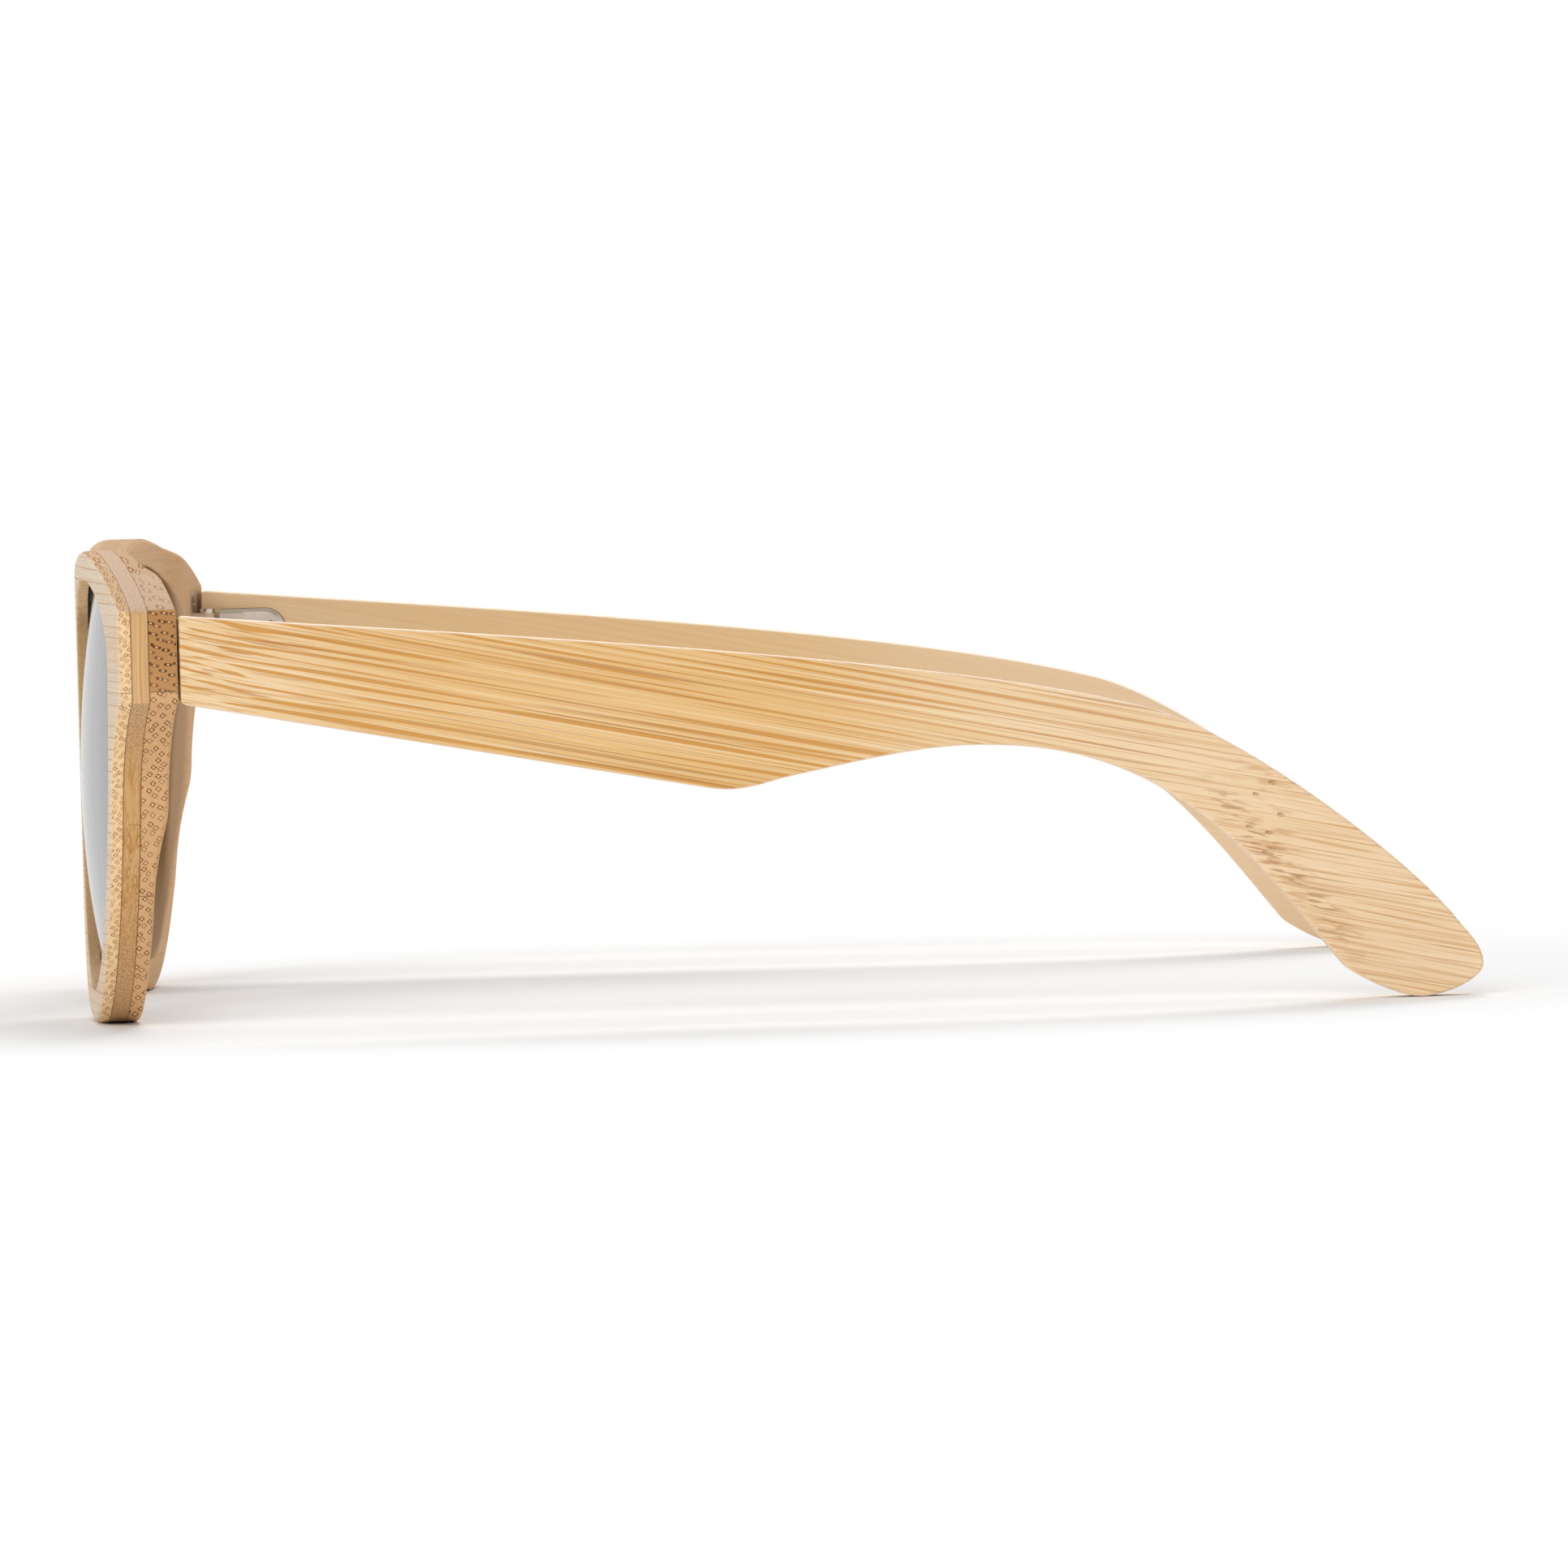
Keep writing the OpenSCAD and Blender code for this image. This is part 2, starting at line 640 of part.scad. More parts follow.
// Eye on the pivot, an arm, and the rod that runs through the spring
module hinge_slider(side) color(steel) on_side(side) at_temple() difference() {
    union() {
        cylinder(r = barrel_r, h = eye_h, center = true, $fn = round_fn);
        translate([-barrel_r / 2, 0, -eye_h / 2]) cube([barrel_r / 2 + rod_x + rod_r, arm_y, eye_h]);
        along_rod(arm_y - cut) cylinder(r = rod_r, h = collar_y + collar_t - arm_y + cut, $fn = round_fn);
    }
    cylinder(r = pivot_r + pivot_play, h = far, center = true, $fn = round_fn);
}

module along_rod(y) translate([rod_x, y, 0]) rotate([-90, 0, 0]) children();

module spring_collar(side) color(steel) on_side(side) at_temple() along_rod(collar_y) difference() {
    cylinder(r = bore_r - let_in_play, h = collar_t, $fn = round_fn);
    translate([0, 0, -cut]) cylinder(r = rod_r + tight_play, h = collar_t + 2 * cut, $fn = round_fn);
}

// The spring is one tube wound round the rod, from the chamber's front wall to the collar
wire_sides = 6;
turn_rings = 8;
coil_r = bore_r - let_in_play - wire_d / 2;
coil_start = chamber_y + wire_d / 2 + let_in_play / 2;
coil_end = collar_y - wire_d / 2 - let_in_play / 2;
coil_pitch = (coil_end - coil_start) / spring_turns;
echo(spring_gap = coil_pitch - wire_d);

module hinge_spring(side) color(steel) on_side(side) at_temple() {
    last = spring_turns * turn_rings;
    points = [
        for (k = [0 : last])
            let (a = 360 * k / turn_rings, along = coil_start + coil_pitch * k / turn_rings)
            for (j = [0 : wire_sides - 1])
                let (b = 360 * j / wire_sides, r = coil_r + wire_d / 2 * cos(b))
                [rod_x + r * cos(a), along + wire_d / 2 * sin(b), r * sin(a)]
    ];
    polyhedron(
        points,
        concat(
            [[for (j = [0 : wire_sides - 1]) j]],
            [[for (j = [wire_sides - 1 : -1 : 0]) last * wire_sides + j]],
            [
                for (k = [0 : last - 1])
                    for (j = [0 : wire_sides - 1])
                        let (a = k * wire_sides, b = a + wire_sides, next = (j + 1) % wire_sides)
                        each [[a + j, b + j, a + next], [a + next, b + j, b + next]]
            ]
        )
    );
}

// Outer form of the spring case: a bevelled bar with a round end
module case_section(w) polygon([
    [0, case_out],
    [w / 2, case_out],
    [w / 2, case_in + case_bevel],
    [w / 2 - case_bevel, case_in],
    [0, case_in]
]);

module case_block(play) {
    w = case_w + 2 * play;
    round_y = case_y + case_l - case_w / 2;
    for (s = [0, 1]) mirror([0, 0, s]) translate([0, case_y - play, 0]) rotate([-90, -90, 0])
        linear_extrude(round_y - case_y + play) case_section(w);
    translate([0, round_y, 0]) rotate([0, 90, 0]) rotate_extrude($fn = round_fn) case_section(w);
}

module spring_case(side) color(steel) on_side(side) at_temple() difference() {
    case_block(0);
    along_rod(chamber_y) cylinder(r = bore_r, h = chamber_l, $fn = round_fn);
    along_rod(case_y - cut) cylinder(r = rod_r + pivot_play, h = nose_wall + 2 * cut, $fn = round_fn);
    translate([case_in - cut, case_y + case_step_y, -case_w]) cube([cut + case_step, case_l, 2 * case_w]);
    translate([case_in + case_step, tail_screw_y, 0]) rotate([0, -90, 0]) countersink();
    translate([case_in, tail_screw_y, 0]) rotate([0, 90, 0]) cylinder(r = screw_r + tight_play, h = case_t + cut, $fn = round_fn);
}

module case_screw(side) color(steel) on_side(side) at_temple()
    translate([case_in + case_step, tail_screw_y, 0]) rotate([0, -90, 0])
        wood_screw(case_t - case_step + screw_bite);

front_ply();
core_ply();
rear_ply();
lens(left);  // lens_left
lens(right);  // lens_right
temple(left);  // temple_left
temple(right);  // temple_right
hinge_plate(left);  // hinge_plate_left
hinge_plate(right);  // hinge_plate_right
plate_screws(left);  // plate_screws_left
plate_screws(right);  // plate_screws_right
pivot_screw(left);  // pivot_screw_left
pivot_screw(right);  // pivot_screw_right
hinge_slider(left);  // hinge_slider_left
hinge_slider(right);  // hinge_slider_right
spring_collar(left);  // spring_collar_left
spring_collar(right);  // spring_collar_right
hinge_spring(left);  // hinge_spring_left
hinge_spring(right);  // hinge_spring_right
spring_case(left);  // spring_case_left
spring_case(right);  // spring_case_right
case_screw(left);  // case_screw_left
case_screw(right);  // case_screw_right
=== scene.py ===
"""Looks of the laminated bamboo sunglasses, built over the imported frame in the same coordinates."""

import json
import logging
import math
from dataclasses import dataclass, field
from enum import Enum
from typing import Any, Callable, Optional, Union

import bmesh
import bpy
import numpy as np
from mathutils import Matrix, Vector
from mathutils.geometry import delaunay_2d_cdt

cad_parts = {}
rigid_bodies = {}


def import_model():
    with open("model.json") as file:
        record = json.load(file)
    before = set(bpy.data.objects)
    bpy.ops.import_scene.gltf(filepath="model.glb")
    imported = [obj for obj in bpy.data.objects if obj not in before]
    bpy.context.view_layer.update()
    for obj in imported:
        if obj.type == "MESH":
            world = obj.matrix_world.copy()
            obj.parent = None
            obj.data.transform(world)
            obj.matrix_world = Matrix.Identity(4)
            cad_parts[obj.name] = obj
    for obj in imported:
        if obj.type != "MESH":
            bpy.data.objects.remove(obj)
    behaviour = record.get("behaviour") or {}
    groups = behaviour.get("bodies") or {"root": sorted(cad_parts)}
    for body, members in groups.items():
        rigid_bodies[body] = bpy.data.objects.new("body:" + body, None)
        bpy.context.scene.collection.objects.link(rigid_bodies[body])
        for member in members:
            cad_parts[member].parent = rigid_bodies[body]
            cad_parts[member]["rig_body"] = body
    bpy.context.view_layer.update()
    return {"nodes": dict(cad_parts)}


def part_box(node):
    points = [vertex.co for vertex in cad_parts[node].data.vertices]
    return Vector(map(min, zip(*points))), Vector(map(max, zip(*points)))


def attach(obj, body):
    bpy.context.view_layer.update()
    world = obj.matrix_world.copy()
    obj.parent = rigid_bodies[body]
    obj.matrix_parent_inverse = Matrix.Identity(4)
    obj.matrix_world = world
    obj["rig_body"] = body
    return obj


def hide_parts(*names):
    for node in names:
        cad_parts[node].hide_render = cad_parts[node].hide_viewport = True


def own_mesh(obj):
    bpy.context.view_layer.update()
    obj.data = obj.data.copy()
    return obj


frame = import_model()

LOG = logging.getLogger("sunglasses")
MM = 0.001
# Edges that turn by more than this stay sharp
CREASE = math.radians(35.0)
# Distance of the frame's origin behind the foremost line of the front, in millimetres
CENTRE_Y = -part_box("front_ply")[0].y / MM
# Steps of a curve that heights are read from, and of one that is only measured
FINE_STEPS, ROUGH_STEPS = 60, 40
# Stands for the rise of a level edge, and the distance within which flat points are one
TINY, MERGED = 1e-12, 1e-7

Array = np.ndarray
Points = list[tuple[float, float]]
Reals = Union[float, Array]
Piece = bpy.types.Object


class Side(Enum):
    """The wearer's left and right, as the sign of X."""

    LEFT = 1
    RIGHT = -1

    @property
    def word(self) -> str:
        """The side's name as the nodes write it."""
        return self.name.lower()


class Ply(Enum):
    """The three plies of the front, named as their nodes."""

    FRONT = "front_ply"
    CORE = "core_ply"
    REAR = "rear_ply"

    @property
    def depths(self) -> tuple[float, float]:
        """How deep the ply's face and back lie behind the front's face."""
        index = list(Ply).index(self)
        return LAYOUT.depths[index : index + 2]


def cubic(points: Points, n: int) -> Array:
    """Points along one cubic curve.

    Args:
        points: its four control points.
        n: how many steps it is cut into.

    Returns:
        n points, without the curve's last one.
    """
    t = np.arange(n)[:, None] / n
    u = 1 - t
    a, b, c, d = (np.asarray(p, float) for p in points)
    return u**3 * a + 3 * u * u * t * b + 3 * u * t * t * c + t**3 * d


def run(points: Points) -> Array:
    """Fine points along one cubic curve, with its end."""
    return np.vstack([cubic(points, FINE_STEPS), points[3]])


def chain(points: Points, step: float) -> Array:
    """Points along several cubic curves in a row.

    Args:
        points: the first curve's four control points, and three more for each curve after it.
        step: about how far apart the points lie.

    Returns:
        The points, without the last curve's end.
    """
    parts = []
    for first in range(0, len(points) - 1, 3):
        curve = points[first : first + 4]
        length = np.linalg.norm(np.diff(cubic(curve, ROUGH_STEPS), axis=0), axis=1).sum()
        parts.append(cubic(curve, max(2, round(length / step))))
    return np.vstack(parts)


def upright(flat: Array, y: Array, side: Side = Side.LEFT) -> Array:
    """Flat points in X and Z, set up at a Y on one side of the face."""
    return np.column_stack((side.value * flat[:, 0], y, flat[:, 1]))


def rounding(radius: float, n: int) -> list[tuple[float, float]]:
    """How far in from both faces the points of a rounded edge lie, from one face to the other."""
    turns = np.radians(np.linspace(0, 90, n))
    return [(radius * (1 - math.sin(a)), radius * (1 - math.cos(a))) for a in turns]


def linked(name: str, data: bpy.types.ID) -> Piece:
    """A new object with this data, linked to the scene.

    Args:
        name: the object's name.
        data: its mesh, lamp or camera.

    Returns:
        The object.
    """
    made = bpy.data.objects.new(name, data)
    bpy.context.scene.collection.objects.link(made)
    return made


def over(a: Array, b: Array, blend: float) -> Array:
    """The higher of two height fields, rounded where they meet."""
    h = np.maximum(blend - np.abs(a - b), 0) / blend
    return np.maximum(a, b) + h * h * blend / 4


def under(a: Array, b: Array, blend: float) -> Array:
    """The lower of two height fields, rounded where they meet."""
    return -over(-a, -b, blend)


def inside(points: Array, loops: list[Array]) -> Array:
    """Which points lie in an outline and outside its holes.

    Args:
        points: the points to test.
        loops: the outline and its holes, in any order.

    Returns:
        One truth value for each point.
    """
    found = np.zeros(len(points), bool)
    x, z = points[:, :1], points[:, 1:]
    for loop in loops:
        a, b = loop, np.roll(loop, -1, axis=0)
        rise = np.where(b[:, 1] == a[:, 1], TINY, b[:, 1] - a[:, 1])
        cross = (a[:, 1] > z) != (b[:, 1] > z)
        where = a[:, 0] + (z - a[:, 1]) * (b[:, 0] - a[:, 0]) / rise
        found ^= (np.sum(cross & (x < where), axis=1) % 2).astype(bool)
    return found


@dataclass
class Loop:
    """A clockwise closed outline, with its mitred direction out at each point."""

    points: Array
    out: Array = field(init=False)

    def __post_init__(self) -> None:
        """Works out the direction that leaves the outline at each point."""
        after = np.roll(self.points, -1, axis=0) - self.points
        after /= np.linalg.norm(after, axis=1)[:, None]
        after = np.column_stack((-after[:, 1], after[:, 0]))
        before = np.roll(after, 1, axis=0)
        self.out = (before + after) / (1 + (before * after).sum(1))[:, None]

    def moved(self, distance: Reals) -> Array:
        """The outline's points moved out by a distance, or by one for each point."""
        return self.points + np.broadcast_to(distance, len(self.points))[:, None] * self.out

    def mirrored(self) -> "Loop":
        """The same outline on the other side of the face."""
        return Loop(self.points[::-1] * (-1, 1))


class Shell:
    """A closed mesh made of rings of points and the faces between them, in millimetres."""

    # Of the points that fill an outline, in spacings: from row to row, and from the rim at least
    row_pitch = 0.87
    rim_gap = 0.55

    def __init__(self) -> None:
        """Starts with no points and no faces."""
        self.points: list[Array] = []
        self.count = 0
        self.faces: list[tuple[int, ...]] = []

    def ring(self, points: Array) -> Array:
        """Adds points.

        Args:
            points: one row for each point.

        Returns:
            The points' numbers.
        """
        self.points.append(np.asarray(points, float))
        self.count += len(points)
        return np.arange(self.count - len(points), self.count)

    def tube(self, rows: list[Array]) -> list[Array]:
        """Adds closed rings of points and joins each to the next one.

        Args:
            rows: the points of each ring, as many in each.

        Returns:
            The numbers of each ring's points.
        """
        rings = [self.ring(points) for points in rows]
        for a, b in zip(rings, rings[1:]):
            c, d = np.roll(a, -1), np.roll(b, -1)
            self.faces += [tuple(int(i) for i in f) for f in zip(a, c, d, b)]
        return rings

    def web(
        self,
        rings: list[Array],
        flats: list[Array],
        lift: Callable[[Array], Array],
        spacing: float,
    ) -> None:
        """Fills an outline with holes.

        Args:
            rings: numbers of the points round the outline and round each hole.
            flats: the same points, flat.
            lift: turns flat points into points in space.
            spacing: distance between the points added in the middle.
        """
        rim = np.vstack(flats)
        low, high = rim.min(0), rim.max(0)
        xs = np.arange(low[0] + spacing / 2, high[0], spacing)
        zs = np.arange(low[1] + spacing / 2, high[1], spacing * self.row_pitch)
        grid = np.array([(x + spacing / 2 * (k % 2), z) for k, z in enumerate(zs) for x in xs])
        grid = grid[inside(grid, flats)] if len(grid) else np.zeros((0, 2))
        if len(grid):
            near = np.array([np.min(np.sum((rim - p) ** 2, axis=1)) for p in grid])
            grid = grid[near > (self.rim_gap * spacing) ** 2]
        added = self.ring(lift(grid)) if len(grid) else np.zeros(0, int)
        numbers = np.concatenate([*rings, added])
        edges, start = [], 0
        for flat in flats:
            n = len(flat)
            edges += [(start + i, start + (i + 1) % n) for i in range(n)]
            start += n
        flat_points = np.vstack([rim, grid])
        found = delaunay_2d_cdt([Vector(p) for p in flat_points], edges, [], 0, MERGED)
        own = [int(numbers[source[0]]) for source in found[3]]
        laid = np.array([tuple(p) for p in found[0]])
        triangles = np.array(found[2])
        kept = triangles[inside(laid[triangles].mean(1), flats)]
        self.faces += [tuple(own[i] for i in f) for f in kept]

    def cap(self, ring: Array) -> None:
        """Closes a ring with one face."""
        self.faces.append(tuple(int(i) for i in ring))

    def piece(self, name: str) -> Piece:
        """Turns the shell into a smooth-shaded object.

        Args:
            name: the object's name.

        Returns:
            The object, linked to the scene.
        """
        points = np.vstack(self.points) - (0, CENTRE_Y, 0)
        mesh = bpy.data.meshes.new(name)
        mesh.from_pydata((points * MM).tolist(), [], self.faces)
        work = bmesh.new()
        work.from_mesh(mesh)
        bmesh.ops.recalc_face_normals(work, faces=work.faces)
        for face in work.faces:
            face.smooth = True
        work.to_mesh(mesh)
        work.free()
        mesh.set_sharp_from_angle(angle=CREASE)
        return linked(name, mesh)


class Signal:
    """A value, colour or vector on its way through a node tree."""

    def __init__(self, paint: "Paint", socket: bpy.types.NodeSocket) -> None:
        """Wraps an output socket of one of the paint's nodes."""
        self.paint = paint
        self.socket = socket

    def out(self, name: str) -> "Signal":
        """Another output of the same node."""
        return Signal(self.paint, self.socket.node.outputs[name])

    def math(self, operation: str, *others: "Source") -> "Signal":
        """A Math node on this value and others."""
        inputs = {i: v for i, v in enumerate((self, *others))}
        return self.paint.node("ShaderNodeMath", {"operation": operation}, inputs)

    def __add__(self, other: "Source") -> "Signal":
        """This value plus another."""
        return self.math("ADD", other)

    __radd__ = __add__

    def __sub__(self, other: "Source") -> "Signal":
        """This value less another."""
        return self.math("SUBTRACT", other)

    def __rsub__(self, other: float) -> "Signal":
        """A number less this value."""
        return self.paint.node("ShaderNodeMath", {"operation": "SUBTRACT"}, {0: other, 1: self})

    def __mul__(self, other: "Source") -> "Signal":
        """This value times another."""
        return self.math("MULTIPLY", other)

    __rmul__ = __mul__

    def __pow__(self, other: "Source") -> "Signal":
        """This value raised to a power."""
        return self.math("POWER", other)

    def __abs__(self) -> "Signal":
        """This value without its sign."""
        return self.math("ABSOLUTE")

    def most(self, other: "Source") -> "Signal":
        """The higher of this value and another."""
        return self.math("MAXIMUM", other)

    def least(self, other: "Source") -> "Signal":
        """The lower of this value and another."""
        return self.math("MINIMUM", other)

    def step(self, low: float, high: float) -> "Signal":
        """Rises softly from 0 to 1 between two values, or falls if low is the higher one.

        Args:
            low: where it is 0.
            high: where it is 1.

        Returns:
            The softened value.
        """
        settings = {"interpolation_type": "SMOOTHSTEP"}
        inputs = {"Value": self, "From Min": low, "From Max": high}
        return self.paint.node("ShaderNodeMapRange", settings, inputs)

    def near(self, middle: float, reach: float, soft: float) -> "Signal":
        """1 within a reach of a middle value, falling softly to 0 beyond it."""
        return abs(self - middle).step(reach + soft, reach)


Source = Union[Signal, float, tuple[float, ...]]
Colour = tuple[float, float, float]
WHITE: Colour = (1.0, 1.0, 1.0)


def tint(red: int, green: int, blue: int) -> Colour:
    """A colour given in screen values, as the linear numbers that the shaders take."""
    parts = (c / 255 for c in (red, green, blue))
    return tuple(c / 12.92 if c <= 0.04045 else ((c + 0.055) / 1.055) ** 2.4 for c in parts)


# Colours of the glue between plies, and of the painted shade in the joints between the end pieces and the
# temples
GLUE = tint(112, 70, 38)
JOINT_SHADE = tint(92, 56, 44)
# How strongly sanded and oiled bamboo glints
MATT = 0.04
OILED = 0.25


class Paint:
    """The node tree of one material or of the world."""

    def __init__(self, owner: Union[bpy.types.Material, bpy.types.World]) -> None:
        """Empties the owner's node tree.

        Args:
            owner: the material or world that is painted.
        """
        owner.use_nodes = True
        self.tree = owner.node_tree
        self.tree.nodes.clear()

    def node(
        self,
        kind: str,
        settings: Optional[dict[str, Any]] = None,
        inputs: Optional[dict[Union[int, str], Source]] = None,
        output: Union[int, str] = 0,
    ) -> Signal:
        """Adds a node.

        Args:
            kind: the node's type.
            settings: its own settings, which are set first.
            inputs: values or signals for its sockets, by number, name or identifier.
            output: which of its outputs is given back.

        Returns:
            The signal that leaves the node.
        """
        made = self.tree.nodes.new(kind)
        for key, value in (settings or {}).items():
            setattr(made, key, value)
        for key, value in (inputs or {}).items():
            socket = made.inputs[key] if isinstance(key, int) else self.socket(made, key)
            if isinstance(value, Signal):
                self.tree.links.new(value.socket, socket)
            elif isinstance(value, tuple) and len(value) == 3 and socket.type == "RGBA":
                socket.default_value = (*value, 1.0)
            else:
                socket.default_value = value
        return Signal(self, made.outputs[output]) if len(made.outputs) else None

    @staticmethod
    def socket(node: bpy.types.Node, key: str) -> bpy.types.NodeSocket:
        """A node's input by its identifier or else by its name."""
        named = [s for s in node.inputs if s.identifier == key]
        return named[0] if named else node.inputs[key]

    def mix(self, factor: Source, a: Source, b: Source) -> Signal:
        """Mixes two colours."""
        inputs = {"Factor_Float": factor, "A_Color": a, "B_Color": b}
        return self.node("ShaderNodeMix", {"data_type": "RGBA"}, inputs, 2)

    def coats(self, base: Source, *coats: tuple[Source, Source]) -> Source:
        """Lays colours over a base in turn, each as strongly as its own factor says.

        Args:
            base: the colour below.
            coats: the factor and the colour of each coat.

        Returns:
            The colour that is left to see.
        """
        for factor, colour in coats:
            base = self.mix(factor, base, colour)
        return base

    def vector(self, x: Source, y: Source, z: Source) -> Signal:
        """Three values as a vector."""
        return self.node("ShaderNodeCombineXYZ", None, {0: x, 1: y, 2: z})

    def parts(self, vector: Signal) -> tuple[Signal, Signal, Signal]:
        """The three values of a vector."""
        x = self.node("ShaderNodeSeparateXYZ", None, {0: vector})
        return x, x.out("Y"), x.out("Z")

    def place(self) -> tuple[Signal, Signal, Signal]:
        """Object coordinates in millimetres, with Y counted from the foremost line of the front.

        Returns:
            X, Y and Z.
        """
        own = self.node("ShaderNodeTexCoord", output="Object")
        settings = {"operation": "MULTIPLY_ADD"}
        inputs = {0: own, 1: (1 / MM,) * 3, 2: (0.0, CENTRE_Y, 0.0)}
        return self.parts(self.node("ShaderNodeVectorMath", settings, inputs))

    def facing(self) -> tuple[Signal, Signal, Signal]:
        """The surface's direction in the object's own axes."""
        return self.parts(self.node("ShaderNodeTexCoord", output="Normal"))

    def noise(
        self, place: tuple[Source, ...], scale: float = 1.0, detail: float = 2.0, rough: float = 0.5
    ) -> Signal:
        """Cloudy values round one half."""
        inputs = {"Vector": self.vector(*place), "Scale": scale, "Detail": detail, "Roughness": rough}
        return self.node("ShaderNodeTexNoise", None, inputs)

    def cells(self, place: Signal, pitch: float, scatter: float) -> Signal:
        """Distance to the middle of the nearest cell in a plane.

        Args:
            place: where the pattern is looked up, in millimetres.
            pitch: about how far apart the cells lie.
            scatter: how unevenly they lie, from 0 to 1.

        Returns:
            The distance, in pitches.
        """
        settings = {"voronoi_dimensions": "2D", "feature": "F1"}
        inputs = {"Vector": place, "Scale": 1 / pitch, "Randomness": scatter}
        return self.node("ShaderNodeTexVoronoi", settings, inputs)

    def seen(self) -> Signal:
        """1 for what is seen, also in a mirror or through a lens, and 0 for what only gives light."""
        path = self.node("ShaderNodeLightPath")
        return path.most(path.out("Is Glossy Ray")).most(path.out("Is Transmission Ray"))

    def bump(self, height: Signal, depth_mm: float, strength: float) -> Signal:
        """A surface direction dented by a height from 0 to 1."""
        inputs = {"Height": height, "Distance": depth_mm * MM, "Strength": strength}
        return self.node("ShaderNodeBump", None, inputs)

    def wood(self, colour: Source, rough: Source, normal: Source, glint: float) -> None:
        """Ends the tree in wood."""
        inputs = {"Base Color": colour, "Roughness": rough, "Normal": normal, "Specular IOR Level": glint}
        self.surface(inputs)

    def surface(self, inputs: dict[str, Source]) -> None:
        """Ends the tree in a Principled shader with these inputs."""
        shader = self.node("ShaderNodeBsdfPrincipled", None, inputs)
        self.node("ShaderNodeOutputMaterial", None, {"Surface": shader})


def fresh(name: str) -> tuple[bpy.types.Material, Paint]:
    """A new material and its empty node tree."""
    material = bpy.data.materials.new(name)
    return material, Paint(material)


@dataclass(frozen=True)
class Finish:
    """A look, which each kind draws in its own way."""

    name: str

    def draw(self, paint: Paint) -> None:
        """Draws the look into a material's node tree."""
        raise NotImplementedError

    def material(self) -> bpy.types.Material:
        """Builds the look's material.

        Returns:
            The material.
        """
        made, paint = fresh(self.name)
        self.draw(paint)
        return made


@dataclass(frozen=True)
class Layout:
    """Measures that several pieces share, in millimetres; depths count from the front's face."""

    wrap_r: float = 395.0
    half_w: float = 70.0
    depths: tuple[float, ...] = (0.0, 1.35, 3.2, 4.8)
    nose_d: float = 6.3
    end_d: float = 6.3
    inner: float = 1.2
    thick: float = 4.0
    pivot_h: float = 1.45
    hinge_z: float = 40.05
    butt_gap: float = 0.15
    toe_in: float = math.radians(4.0)

    def wrap(self, x: Reals, depth: Reals = 0.0) -> Array:
        """Y of the bent front at X, at a depth behind its face."""
        return self.wrap_r - np.sqrt((self.wrap_r - depth) ** 2 - np.square(x))

    @property
    def end_tilt(self) -> float:
        """Angle of the end pieces' flat rear faces, seen from above."""
        return math.asin((self.half_w - self.thick) / self.wrap_r)

    @property
    def joint_y(self) -> float:
        """Y of the end pieces' outer rear edges."""
        return float(self.wrap(self.half_w)) + self.end_d

    def end_face(self, x: Reals) -> Array:
        """Y of an end piece's flat rear face."""
        return self.joint_y - (self.half_w - x) * math.tan(self.end_tilt)

    @property
    def pivot(self) -> tuple[float, float, float]:
        """Middle of the left hinge's pivot."""
        x = self.half_w - self.thick - self.inner
        return x, float(self.end_face(x)) + self.pivot_h / math.cos(self.end_tilt), self.hinge_z

    @property
    def butt_y(self) -> float:
        """Where a temple's butt end lies along the board, counted from the pivot."""
        reach = (self.inner + self.thick) * math.sin(self.toe_in)
        return (self.joint_y + self.butt_gap - self.pivot[1] - reach) / math.cos(self.toe_in)

    def about_pivot(self, along: Reals, across: Reals, z: Array, side: Side, turn: float) -> Array:
        """Points given from a hinge's pivot in axes that are turned about it, as X, Y and Z.

        Args:
            along: distances from the pivot backwards.
            across: distances from the pivot outwards.
            z: heights above the ground.
            side: which hinge.
            turn: how far the axes are turned in, in radians.

        Returns:
            One row for each point.
        """
        c, s = math.cos(turn), math.sin(turn)
        px, py, _ = self.pivot
        x, y = px + across * c - along * s, py + across * s + along * c
        return np.column_stack(np.broadcast_arrays(side.value * x, y, z))

    def on_board(self, along: Array, across: Reals, z: Array, side: Side) -> Array:
        """Points given along and across a temple's board from its pivot, as X, Y and Z."""
        return self.about_pivot(along, across, z, side, self.toe_in)


LAYOUT = Layout()


def ply_depth(x: Signal, y: Signal) -> Signal:
    """Depth behind the bent front's face."""
    r = LAYOUT.wrap_r
    return r - ((r - y) ** 2.0 + x**2.0) ** 0.5


def away_from_nose(x: Signal, nx: Signal) -> Signal:
    """How squarely a surface of either half faces away from the nose."""
    return nx * (x.step(-1.0, 1.0) * 2.0 - 1.0)


